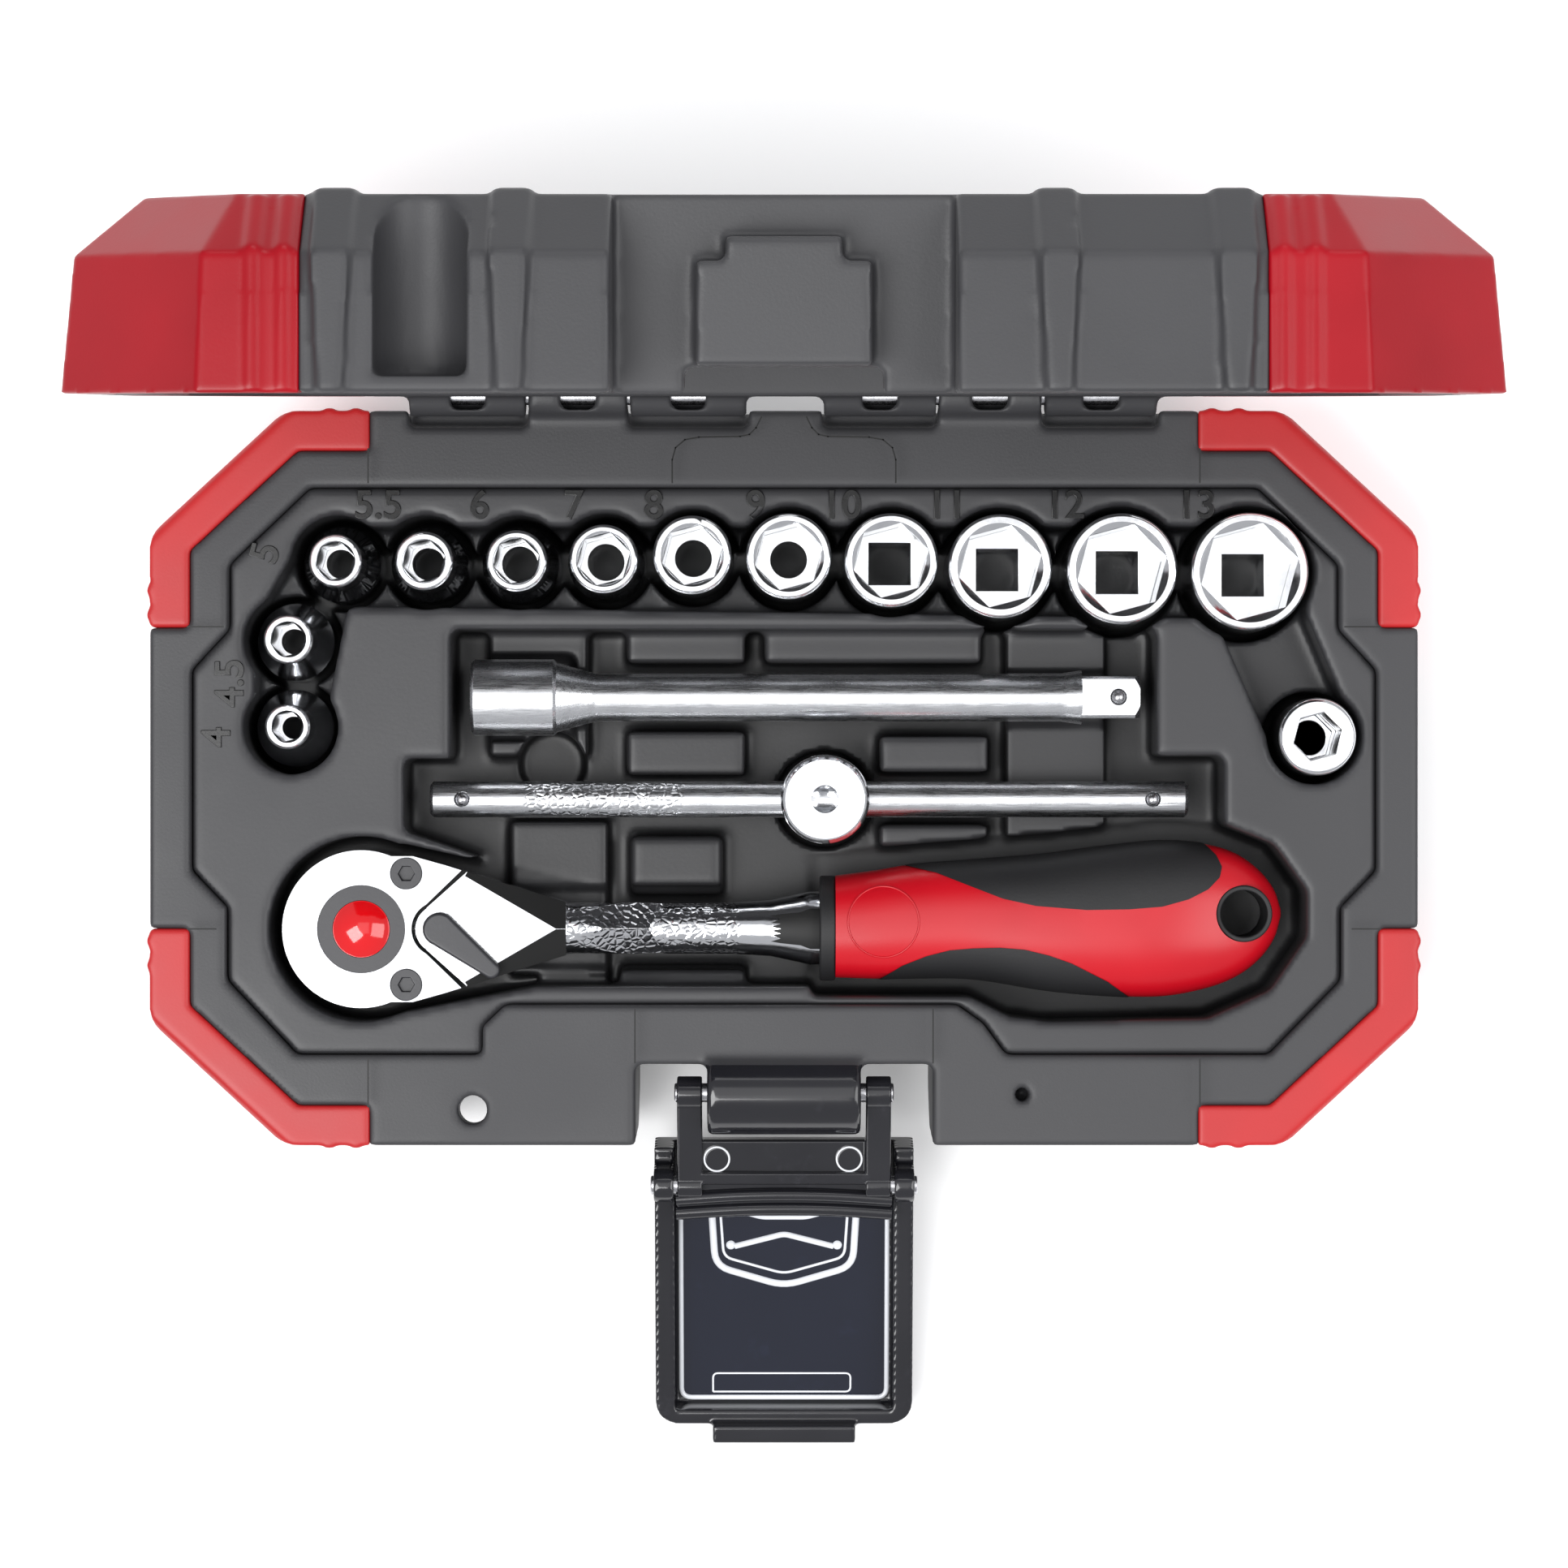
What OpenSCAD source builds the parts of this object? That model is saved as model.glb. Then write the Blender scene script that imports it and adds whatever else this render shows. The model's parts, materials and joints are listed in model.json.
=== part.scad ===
// Socket wrench set in its case: a base with a tool tray, a lid on a rear hinge, a draw latch,
// twelve sockets, a bit adapter, an extension, a sliding T-handle and a ratchet.
// Origin: centre of the base's underside. +X right, +Y to the hinge, +Z up. Millimetres.
// The lid and the latch are drawn open, and the tools lie in the tray.

/* [Case] */
// Width of the case at the parting line
case_w = 191.5; // [191:0.5:193]
// Depth of the case at the parting line
case_d = 111; // [110.5:0.5:112]
// Height of the base up to the parting line
base_h = 26; // [26:0.5:27]
// Height of the lid above the parting line
lid_h = 26; // [26:0.5:28]
// Thickness of the corner guards at the parting line
guard_t = 6; // [5.8:0.1:6.2]
// Angle between the closed lid and the lid standing open
lid_open = 85.5; // [80:0.5:90]

/* [Hinge] */
// Distance of the hinge axis behind the centre
hinge_y = 57.5; // [57:0.5:59]
// Radius of the hinge knuckles
knuckle_r = 3; // [2.8:0.1:3.2]
// Radius of the hinge pins
hinge_pin_r = 1.25; // [1:0.05:1.5]

/* [Latch] */
// Radius of the barrel that carries the latch pin
barrel_r = 6.35; // [6:0.05:6.5]
// Distance between the two latch pins
link_len = 14.6; // [14.4:0.1:14.8]
// Angle by which the open latch droops
latch_droop = 13; // [11:0.5:13]
// Length of the latch plate beyond the second pin
plate_reach = 41.9; // [41:0.1:42]
// Width of the latch plate over its rails
plate_w = 39.6; // [39:0.1:40]

/* [Tray] */
// Height of the tray's upper fields
tray_top = 24.6; // [24:0.1:25]
// Height of the floor round the bars
recess_z = 10; // [9.5:0.5:11]
// Gap between a socket and its pocket
pocket_gap = 1.3; // [1:0.1:1.5]

/* [Sockets and bars] */
// Length of a socket
socket_len = 25; // [24:0.5:25]
// Width across flats of the square drive
drive_af = 6.35; // [6.3:0.05:6.4]
// Diameter of a socket's drive end
drive_end_d = 11.7; // [11.5:0.1:12]
// Diameter of the extension's shaft
shaft_d = 7.3; // [7:0.1:7.5]
// Diameter of the sliding bar
bar_d = 5.5; // [5.3:0.1:5.5]

/* [Ratchet] */
// Radius of the ratchet's head
head_r = 11.9; // [11.7:0.1:12]
// Height of the head's upper face
head_top = 26; // [25.8:0.1:26.2]
// Number of teeth on the drive gear
gear_teeth = 24; // [18:1:36]

/* [Hidden] */
$fn = 48;
// size, X, Y and diameter of the hex end
SOCKETS = [
  ["socket_4", 4, -74.6, 7.7, 6.8], ["socket_4_5", 4.5, -74.5, 20.8, 7.4],
  ["socket_5", 5, -67.4, 32.6, 8.0], ["socket_5_5", 5.5, -54.1, 32.6, 8.8],
  ["socket_6", 6, -40.2, 32.6, 9.2], ["socket_7", 7, -27.1, 32.9, 10.3],
  ["socket_8", 8, -13.8, 33.5, 11.8], ["socket_9", 9, 0.7, 33.3, 12.9],
  ["socket_10", 10, 16.1, 32.7, 14.1], ["socket_11", 11, 32.5, 31.8, 15.6],
  ["socket_12", 12, 50.8, 31.4, 16.7], ["socket_13", 13, 70.0, 31.0, 17.7]
];
CORNERS = [["fl", -1, -1], ["fr", 1, -1], ["bl", -1, 1], ["br", 1, 1]];

PLASTIC = [0.2, 0.2, 0.21];
RED = [0.78, 0.12, 0.15];
LID_RED = [0.66, 0.02, 0.12];
STEEL = [0.82, 0.83, 0.85];
DARK = [0.09, 0.09, 0.1];

more = 0.1;              // how far a cutter runs past a face
run = 0.05;              // radial running clearance
parting = 0.02;          // gap between the closed shells
case_x = case_w / 2;
guard_x = 62.5;          // where the guards start along the front and rear
guard_y = 22.7;          // where the guards start along the sides
notch_x = 22.4;          // half width of the latch notch
notch_y = -43.2;         // back of the latch notch
latch_y = -47.65;        // latch pin in the base
latch_z = 22.5;
hinge_z = base_h;
tray_floor = 3;
pocket_floor = 4;
socket_z = 4.2;
ext_y = 12.3;
ext_z = 19.5;
tee_x = 6.2;
tee_y = -3.2;
tee_z = 20;
adapter_x = 80.2;
adapter_y = 6.2;
head_x = -63.8;
wrench_y = -22.8;
wrench_z = 18.8;
lever_x = -52;
eye_x = -47;             // hole for a padlock
eye_y = -50.1;
eye_r = 2.2;

// ---------- shared shapes ----------
// one level of the case's outline, moved in by a distance
function ring(inset, z) =
  let (x = case_x - inset, y = case_d / 2 - inset, k = 1 - 0.03 * inset, cx = 20 * k, cy = 18.5 * k)
  [[x, y - cy, z], [x - cx, y, z], [cx - x, y, z], [-x, y - cy, z],
   [-x, cy - y, z], [cx - x, -y, z], [x - cx, -y, z], [x, cy - y, z]];

// a closed solid through several levels, each [inset, z], from low to high
module levels(rows) {
  top = 8 * (len(rows) - 1);
  polyhedron(
    points = [for (r = rows) each ring(r[0], r[1])],
    faces = concat(
      [[for (i = [0:7]) i]],
      [[for (i = [7:-1:0]) top + i]],
      [for (k = [0:len(rows) - 2], i = [0:7])
        [8 * k + i, 8 * k + 8 + i, 8 * k + 8 + (i + 1) % 8, 8 * k + (i + 1) % 8]]));
}

module box(x0, x1, y0, y1, z0, z1) {
  translate([x0, y0, z0]) cube([x1 - x0, y1 - y0, z1 - z0]);
}

module rod_x(x0, x1, y, z, r) {
  translate([x0, y, z]) rotate([0, 90, 0]) cylinder(r = r, h = x1 - x0);
}

module spin_x(x, y, z) {
  translate([x, y, z]) rotate([0, 90, 0]) children();
}

module at_lid() {
  translate([0, hinge_y, hinge_z]) rotate([-lid_open, 0, 0]) translate([0, -hinge_y, -hinge_z])
    children();
}

module at_latch() {
  translate([0, latch_y, latch_z]) rotate([latch_droop, 0, 0]) children();
}

// ---------- case ----------
BASE_OUT = [[7, 0], [1.2, 8], [0, base_h]];
BASE_CORE = [[9, 2.6], [guard_t + 1.2, 9], [guard_t, base_h + 1]];
lid_top = base_h + lid_h;
LID_OUT = [[0, base_h + parting], [1.8, lid_top - 7.9], [10.8, lid_top]];
LID_CORE = [[guard_t - 0.06, base_h - 1], [guard_t + 1.8, lid_top - 9.5], [13.4, lid_top - 2.8]];
LID_HOLLOW = [[9, base_h - 1], [10.4, lid_top - 10], [14.6, lid_top - 4]];

module corner_zone(sx, sy) {
  difference() {
    box(sx > 0 ? guard_x : -100, sx > 0 ? 100 : -guard_x,
        sy > 0 ? guard_y : -70, sy > 0 ? 70 : -guard_y, -10, lid_top + 10);
    levels([[14, -11], [14, lid_top + 11]]);
  }
}

module guard_solid(outer, core, sx, sy) {
  intersection() {
    difference() { levels(outer); levels(core); }
    corner_zone(sx, sy);
  }
}

// rounded beads near the ends of a guard
module long_beads(sx, sy, z0, z1) {
  for (x = [64.6, 68.6]) translate([sx * x, sy * (case_d / 2 - 1.3), z0]) cylinder(r = 1.7, h = z1 - z0);
}

module side_beads(sx, sy, z0, z1) {
  for (y = [24.6, 28.3]) translate([sx * (case_x - 1.3), sy * y, z0]) cylinder(r = 1.7, h = z1 - z0);
}

module base_guard(sx, sy) {
  color(RED) {
    guard_solid(BASE_OUT, BASE_CORE, sx, sy);
    long_beads(sx, sy, 9, base_h);
    side_beads(sx, sy, 9, base_h);
  }
}

module lid_guard(sx, sy) {
  color(LID_RED) at_lid() {
    guard_solid(LID_OUT, LID_CORE, sx, sy);
    // beads that follow the wall and go on over the sloping edge
    for (x = [64.6, 68.6]) translate([sx * x, sy * (case_d / 2 - 3.1), lid_top - 8]) {
      rotate([180 + sy * 5.7, 0, 0]) cylinder(r = 1.7, h = lid_h - 8.3);
      sphere(r = 1.7);
      rotate([sy * 48.7, 0, 0]) cylinder(r = 1.7, h = 10.4);
    }
  }
}

module tray_outline() {
  polygon([[-71.6, 43.9], [71.6, 43.9], [83.8, 32.3], [83.8, 22.5], [89.5, 16.4], [89.5, -14],
    [84.2, -19.5], [84.2, -30.5], [73.2, -41.8], [33.5, -41.8], [30, -37], [26, -34.2],
    [-42, -34.2], [-45.5, -37.5], [-45.5, -41.8], [-73.6, -41.8], [-84.2, -30.5],
    [-84.2, -19.5], [-89.5, -14], [-89.5, 16.4], [-83.8, 22.5], [-83.8, 32.3]]);
}

BASE_KNUCKLES = [[-38.5, -23.6], [23.3, 38.8]];
LID_KNUCKLES = [[-56.4, -38.9], [-23.2, -5.6], [6, 22.9], [39.2, 56.2]];

module base_shell() color(PLASTIC) {
  difference() {
    union() {
      difference() {
        levels(BASE_OUT);
        for (c = CORNERS) guard_solid(BASE_OUT, BASE_CORE, c[1], c[2]);
        translate([0, 0, tray_floor]) linear_extrude(base_h) tray_outline();
        box(-notch_x, notch_x, -70, notch_y, -1, base_h + 1);
        // room under the padlock hole
        translate([eye_x, eye_y - 0.4, -1]) cylinder(r = 6, h = 21);
        box(eye_x - 6, eye_x + 6, -70, eye_y - 0.4, -1, 20);
        translate([35.9, -47.8, base_h - 5]) cylinder(r = 1.1, h = 6);
        for (k = LID_KNUCKLES) box(k[0] - 0.25, k[1] + 0.25, 53, 60, base_h - 3.6, base_h + 1);
      }
      for (k = BASE_KNUCKLES) {
        rod_x(k[0], k[1], hinge_y, hinge_z, knuckle_r);
        box(k[0], k[1], 54, hinge_y, base_h - knuckle_r, base_h - 0.3);
      }
      rod_x(-11.6, 11.6, latch_y, latch_z, barrel_r);
      box(-11.6, 11.6, latch_y, notch_y + 1, latch_z - 4.5, latch_z + 3.5);
    }
    translate([eye_x, eye_y, 19]) cylinder(r = eye_r, h = 9);
    rod_x(-12, 12, latch_y, latch_z, 1.5);
    for (k = BASE_KNUCKLES)
      rod_x(k[0] - 1, k[1] + 1, hinge_y, hinge_z, hinge_pin_r + run);
  }
}

// the four ribs on the lid's front, wider at the top edge
module lid_ribs() {
  intersection() {
    levels([[-1.2, base_h + parting], [0.6, lid_top - 7.6], [10.4, lid_top + 0.8]]);
    for (x = [-58.5, -35.5, 35.5, 58.5])
      translate([x, -42, 0]) rotate([90, 0, 0]) linear_extrude(20)
        polygon([[-1.5, base_h], [1.5, base_h], [2.5, lid_top - 9], [2.5, lid_top + 2],
                 [-2.5, lid_top + 2], [-2.5, lid_top - 9]]);
  }
}

module lid_shell() color(PLASTIC) at_lid() {
  difference() {
    union() {
      difference() {
        levels(LID_OUT);
        for (c = CORNERS) guard_solid(LID_OUT, LID_CORE, c[1], c[2]);
        difference() {
          levels(LID_HOLLOW);
          box(-notch_x - 2.6, notch_x + 2.6, -70, notch_y + 2.6, base_h - 2, lid_top);
          box(eye_x - 8.4, eye_x + 8.4, -70, eye_y + 8, base_h - 2, lid_top);
        }
        for (k = BASE_KNUCKLES) box(k[0] - 0.25, k[1] + 0.25, 53.4, 60, base_h - 1, base_h + 3.5);
      }
      lid_ribs();
      for (k = LID_KNUCKLES) {
        rod_x(k[0], k[1], hinge_y, hinge_z, knuckle_r);
        box(k[0], k[1], 53.5, hinge_y, base_h + 0.3, base_h + knuckle_r);
      }
    }
    box(-notch_x, notch_x, -70, notch_y, base_h - 1, lid_top + 2);
    // room over the padlock hole, and the hole itself
    translate([eye_x, eye_y - 0.4, base_h + 2.2]) cylinder(r = 6, h = lid_h);
    box(eye_x - 6, eye_x + 6, -70, eye_y - 0.4, base_h + 2.2, lid_top + 2);
    translate([eye_x, eye_y, base_h - 1]) cylinder(r = eye_r, h = 5);
    // room for the latch barrel
    box(-13, 13, -60, -40, base_h - 1, base_h + 3.4);
    for (k = LID_KNUCKLES)
      rod_x(k[0] - 1, k[1] + 1, hinge_y, hinge_z, hinge_pin_r + run);
    // shallow panel on the top face
    box(-58, 58, -32, 40, lid_top - 0.8, lid_top + 1);
  }
  // catch for the latch's hook
  box(-11.5, 11.5, -50.1, notch_y + 0.5, base_h + 3.6, base_h + 17.2);
  box(-7.6, 7.6, -50.1, notch_y + 0.5, base_h + 17.2, base_h + 20.3);
}

module hinge_pins() color(STEEL) {
  rod_x(-56, -6, hinge_y, hinge_z, hinge_pin_r);
  rod_x(6.4, 55.8, hinge_y, hinge_z, hinge_pin_r);
}

// ---------- latch, drawn flat from its base pin towards -Y, then drooped ----------
pin_end = 16.6;
arm_in = 12.4;
arm_out = 16.2;
rail_in = 16.8;
panel_low = -9.9;
panel_high = -7.7;
plate_tail = 6.8;

module latch_base_pin() color(STEEL) rod_x(-pin_end, pin_end, latch_y, latch_z, 1.45);

module latch_link() color(DARK) at_latch() {
  difference() {
    union() {
      for (x = [-arm_out, arm_in]) {
        rod_x(x, x + arm_out - arm_in, 0, 0, 2.5);
        rod_x(x, x + arm_out - arm_in, -link_len, 0, 2.2);
        box(x, x + arm_out - arm_in, -link_len, 0, -1.6, 1.8);
      }
      box(-arm_in - more, arm_in + more, -link_len + 0.6, -7.4, -1.1, 0.7);
      box(-arm_in - more, arm_in + more, -link_len + 0.6, -link_len + 2.4, 0.7, 1.8);
      for (x = [-10.2, 9.9]) translate([x, -10.2, 0.6]) cylinder(r = 1.85, h = 0.4);
    }
    for (y = [0, -link_len]) {
      rod_x(-arm_out - 1, -arm_in + 1, y, 0, 1.5);
      rod_x(arm_in - 1, arm_out + 1, y, 0, 1.5);
    }
  }
}

module latch_plate() color(DARK) at_latch() translate([0, -link_len, 0]) {
  difference() {
    union() {
      for (x = [-plate_w / 2, rail_in]) {
        w = plate_w / 2 - rail_in;
        box(x, x + w, -plate_reach + 2.3, plate_tail - 2, panel_low, -3.4);
        rod_x(x, x + w, 0, 0, 2.6);
        box(x, x + w, -2.6, 2.6, -4, 0);
      }
      box(-rail_in - more, rail_in + more, -plate_reach + 2.3, plate_tail - 2, panel_low, panel_high);
      box(-rail_in - more, rail_in + more, -plate_reach + 2.3, -plate_reach + 4.5, panel_low, -3.4);
      // hook that reaches over the catch
      box(-11, 11, -plate_reach, -plate_reach + 2.8, panel_low, -0.9);
      // raised outline and chevron on the panel
      for (x = [-11.5, 10.3]) box(x, x + 1.2, -15.6, -3.3, panel_high - more, panel_high + 0.5);
      box(-11.5, 11.5, -16.8, -15.6, panel_high - more, panel_high + 0.5);
      box(-10.5, 10.5, -plate_reach + 8.2, -plate_reach + 7, panel_high - more, panel_high + 0.5);
      for (s = [-1, 1]) translate([0, -9, panel_high - more]) rotate([0, 0, s * 20])
        translate([s > 0 ? -8 : 0, -0.7, 0]) cube([8, 1.4, 0.6]);
    }
    rod_x(-plate_w / 2 - 1, plate_w / 2 + 1, 0, 0, 1.5);
  }
}

module latch_plate_pins() color(STEEL) at_latch() translate([0, -link_len, 0]) {
  rod_x(-20.3, -arm_in, 0, 0, 1.45);
  rod_x(arm_in, 20.3, 0, 0, 1.45);
}

// ---------- tray ----------
module slot(x0, x1, y, half, z) { box(x0, x1, y - half, y + half, z, base_h + 2); }

module handle_well() {
  polygon([[4, -33], [4, -11.5], [20, -10], [40, -8.4], [58, -6.2], [66, -6.8], [74, -10],
    [79, -17], [79, -24], [73.5, -32], [64, -36.3], [40, -36.8], [34, -36], [28, -33]]);
}

module head_well() {
  translate([head_x, wrench_y, 0]) circle(r = 14);
  polygon([[-58, -9.8], [-30, -16], [-30, -30], [-58, -35.5]]);
}

// low ground round the bars and the socket row
module tray_recess() {
  translate([0, 0, recess_z]) linear_extrude(base_h) {
    polygon([[-50.4, 22.5], [-50.4, 3], [-57.5, 3], [-57.5, -8], [-46, -12], [-46, -31.5],
      [26, -31.5], [50, -10], [66.5, -8], [66.5, 3.4], [56.4, 3.4], [56.4, 22.5]]);
    head_well();
  }
  translate([0, 0, 15]) linear_extrude(base_h) {
    polygon([[-70, 38], [-73, 36], [-80, 24], [-80, 6], [-70, 6], [-66, 26], [79, 24], [79, 34], [74, 38]]);
    polygon([[64, 27], [78, 27], [86, 8], [74, 4]]);
  }
}

// supports under the bars and the ratchet's neck
module tray_islands() {
  for (p = [[-45, -30, 22.5, 3.4, 15.5], [34, 49, 22.5, -9, 15.5], [-42, -27, -6.5, -30, 13.8],
            [-24, -6, 23.6, 17.6, 17], [-3, 30, 23.6, 17.6, 19], [-24, -6, 7.2, 0.6, 17],
            [14.6, 31, 6.4, 1, 19], [-23.5, -9.4, -8.8, -17.8, 16], [14.6, 31, -7, -12.4, 17],
            [-25, -6, -28.6, -34, 17]])
    box(p[0], p[1], p[3], p[2], recess_z - 1, p[4]);
}

module tray_tool_room() {
  for (s = SOCKETS) {
    r = max(s[4], drive_end_d) / 2 + pocket_gap;
    translate([s[2], s[3], pocket_floor]) cylinder(r = r, h = base_h);
    translate([s[2], s[3], pocket_floor - 0.7]) cylinder(r = 4.4, h = 2);
  }
  translate([adapter_x, adapter_y, pocket_floor]) cylinder(r = drive_end_d / 2 + pocket_gap, h = base_h);
  translate([adapter_x, adapter_y, pocket_floor - 0.7]) cylinder(r = 4.4, h = 2);
  slot(-49.4, -32, ext_y, 6.6, ext_z - 6.1);
  slot(-33, 55.4, ext_y, 4.4, ext_z - 4.7);
  slot(-57, 66.4, tee_y, 3.4, tee_z - 3.1);
  translate([tee_x, tee_y, 4.4]) cylinder(r = 7.6, h = base_h);
  translate([0, 0, 13.6]) linear_extrude(base_h) head_well();
  translate([head_x, wrench_y, 4.4]) cylinder(r = 6, h = base_h);
  slot(-46, 8, wrench_y, 6.4, wrench_z - 5.9);
  translate([0, 0, 9.6]) linear_extrude(base_h) handle_well();
  translate([-35.6, 2.3, recess_z - 2]) cylinder(r = 5.1, h = base_h);
}

module tray_insert() color(PLASTIC) difference() {
  union() {
    difference() {
      translate([0, 0, tray_floor]) linear_extrude(tray_top - tray_floor) tray_outline();
      tray_recess();
    }
    tray_islands();
  }
  tray_tool_room();
}

// ---------- sockets ----------
module hex_hole(af, z, h) {
  translate([0, 0, z]) rotate([0, 0, 15]) cylinder(r = af / sqrt(3), h = h, $fn = 6);
}

module square_hole(z, h) {
  translate([-drive_af / 2 - run, -drive_af / 2 - run, z]) cube([drive_af + 2 * run, drive_af + 2 * run, h]);
}

module socket(size, x, y, hex_d) color(STEEL) translate([x, y, socket_z]) {
  foot = max(drive_end_d, hex_d) / 2;
  rim = hex_d / 2;
  waist = hex_d < drive_end_d ? 12 : 10;
  hex_deep = 9 + size * 0.25;
  difference() {
    rotate_extrude()
      polygon([[0, 0], [foot - 0.6, 0], [foot, 0.6], [foot, waist], [rim, waist + (foot > rim ? 4 : 0.6)],
               [rim, socket_len - 0.5], [rim - 0.4, socket_len], [0, socket_len]]);
    hex_hole(size + 0.1, socket_len - hex_deep, hex_deep + 1);
    // lead-in at the mouth
    translate([0, 0, socket_len]) rotate_extrude()
      polygon([[0, 0.1], [size / sqrt(3) + 0.25, 0.1], [size / sqrt(3) + 0.15, 0], [size / 2, -0.7], [0, -0.7]]);
    // the square meets the hexagon in the wide sockets; the others have a round bore between
    square_hole(-1, size < 10 ? 9.5 : socket_len - hex_deep + 1 + more);
    translate([0, 0, 4]) cylinder(r = min(size / 2 - 0.3, 2.8), h = socket_len - 6);
  }
}

module bit_adapter() color(STEEL) translate([adapter_x, adapter_y, socket_z]) difference() {
  rotate_extrude()
    polygon([[0, 0], [drive_end_d / 2 - 0.6, 0], [drive_end_d / 2, 0.6], [drive_end_d / 2, socket_len - 0.5],
             [drive_end_d / 2 - 0.5, socket_len], [0, socket_len]]);
  hex_hole(drive_af + 0.1, 11, socket_len);
  square_hole(-1, 9.5);
  translate([0, 0, 4]) cylinder(r = 2.6, h = 10);
  translate([0, 0, 16]) rotate_extrude() polygon([[0, 0], [4.3, 0], [4.3, 1.3], [0, 1.3]]);
}

// split ring that grips the bit's corners
module bit_adapter_clip() color(STEEL) translate([adapter_x, adapter_y, socket_z + 16.15])
  rotate([0, 0, 200]) rotate_extrude(angle = 300) translate([3.75, 0]) square([0.5, 1]);

// ---------- bars ----------
module drive_square(len) {
  intersection() {
    translate([-drive_af / 2, -drive_af / 2, 0]) cube([drive_af, drive_af, len]);
    rotate_extrude() polygon([[0, 0], [4.2, 0], [4.2, len - 0.8], [3.4, len], [0, len]]);
  }
}

module extension_bar() color(STEEL) difference() {
  spin_x(-47.5, ext_y, ext_z) {
    rotate_extrude()
      polygon([[0, 0], [5.3, 0], [5.8, 0.5], [5.8, 12.5], [5.3, 13], [shaft_d / 2 + 0.5, 17],
               [shaft_d / 2, 19], [shaft_d / 2, 89.5], [4.1, 92.7], [0, 92.7]]);
    translate([0, 0, 92.6]) drive_square(8.9);
  }
  spin_x(-47.5, ext_y, ext_z) {
    square_hole(-1, 10);
    translate([0, 0, 98.2]) rotate([0, -90, 0]) cylinder(r = 1.25, h = 5);
  }
}

module extension_ball() color(STEEL) translate([50.7, ext_y, ext_z + 2.75]) sphere(r = 1.15);

tee_ends = [-53.7, 61.3];
module t_handle_bar() color(STEEL) difference() {
  spin_x(tee_ends[0], tee_y, tee_z)
    rotate_extrude()
      polygon([[0, 0], [bar_d / 2 - 0.5, 0], [bar_d / 2, 0.5], [bar_d / 2, 114.5],
               [bar_d / 2 - 0.5, 115], [0, 115]]);
  for (x = [-48.8, 55.9]) translate([x, tee_y, tee_z]) cylinder(r = 1.2, h = 5);
}

module t_bar_balls() color(STEEL)
  for (x = [-48.8, 55.9]) translate([x, tee_y, tee_z + 2.05]) sphere(r = 1.1);

module t_handle_head() color(STEEL) difference() {
  translate([tee_x, tee_y, 13]) {
    rotate_extrude() polygon([[0, 0], [5.6, 0], [6.7, 1.2], [6.7, 12.3], [6, 13], [0, 13]]);
    translate([0, 0, 0.1]) mirror([0, 0, 1]) drive_square(8);
  }
  rod_x(-10, 20, tee_y, tee_z, bar_d / 2 + run);
  translate([tee_x, tee_y, tee_z]) cylinder(r = 2.1, h = 10);
  translate([tee_x, tee_y, 8.8]) rotate([90, 0, 0]) cylinder(r = 1.2, h = 6);
}

module t_head_ball() color(STEEL) translate([tee_x, tee_y - 2.6, 8.8]) sphere(r = 1.1);

// ---------- ratchet ----------
head_low = 14.6;
plate_low = 23.4;
tongue_top = 24.9;

module head_block(low, high) {
  translate([head_x, wrench_y, low]) cylinder(r = head_r, h = high - low);
  translate([0, 0, low]) linear_extrude(high - low)
    polygon([[-62, wrench_y + 11], [-56, wrench_y + 11], [-51, wrench_y + 9.6], [-33, wrench_y + 4],
             [-33, wrench_y - 4], [-51, wrench_y - 9.6], [-56, wrench_y - 11], [-62, wrench_y - 11]]);
}

// the shank's tongue between the two halves of the cover plate
module tongue_plan(gap) {
  translate([lever_x, wrench_y]) circle(r = 3.7 + gap);
  polygon([[-54, wrench_y + 3.2 + gap], [-47.5 - gap, wrench_y + 9 + gap], [-28, wrench_y + 9 + gap],
           [-28, wrench_y - 9 - gap], [-47.5 - gap, wrench_y - 9 - gap], [-54, wrench_y - 3.2 - gap]]);
}

module ratchet_body() color(STEEL) difference() {
  union() {
    head_block(head_low, plate_low);
    intersection() {
      head_block(plate_low - more, tongue_top);
      translate([0, 0, plate_low - 1]) linear_extrude(5) tongue_plan(0);
    }
    spin_x(-40, wrench_y, wrench_z)
      rotate_extrude()
        polygon([[0, 0], [3.9, 0], [3.9, 32], [4.3, 38], [5.6, 44], [5.6, 45.4], [4, 45.4],
                 [4, 58], [0, 58]]);
  }
  translate([head_x, wrench_y, 16.6]) cylinder(r = 8.1, h = 12);
  translate([head_x, wrench_y, 10]) cylinder(r = 6 + run, h = 12);
  // pocket for the pawl
  translate([lever_x, wrench_y, 16.6]) cylinder(r = 4.1, h = plate_low - 16.6 - 1);
  box(head_x, lever_x, wrench_y - 3.4, wrench_y + 3.4, 16.6, plate_low - 1);
  translate([lever_x, wrench_y, 16]) cylinder(r = 1.2, h = 12);
  for (s = [-1, 1]) translate([-57, wrench_y + s * 8.4, 15.6]) cylinder(r = 1.2, h = 12);
}

module ratchet_cover_plate() color(STEEL) difference() {
  head_block(plate_low, head_top);
  translate([0, 0, plate_low - 1]) linear_extrude(head_top - plate_low + 2) tongue_plan(0.5);
  translate([head_x, wrench_y, 20]) cylinder(r = 6.6 + run, h = 10);
  for (s = [-1, 1]) translate([-57, wrench_y + s * 8.4, 0]) {
    translate([0, 0, 20]) cylinder(r = 1.2, h = 10);
    translate([0, 0, head_top - 1.2]) cylinder(r = 2.4 + run, h = 3);
  }
}

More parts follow.
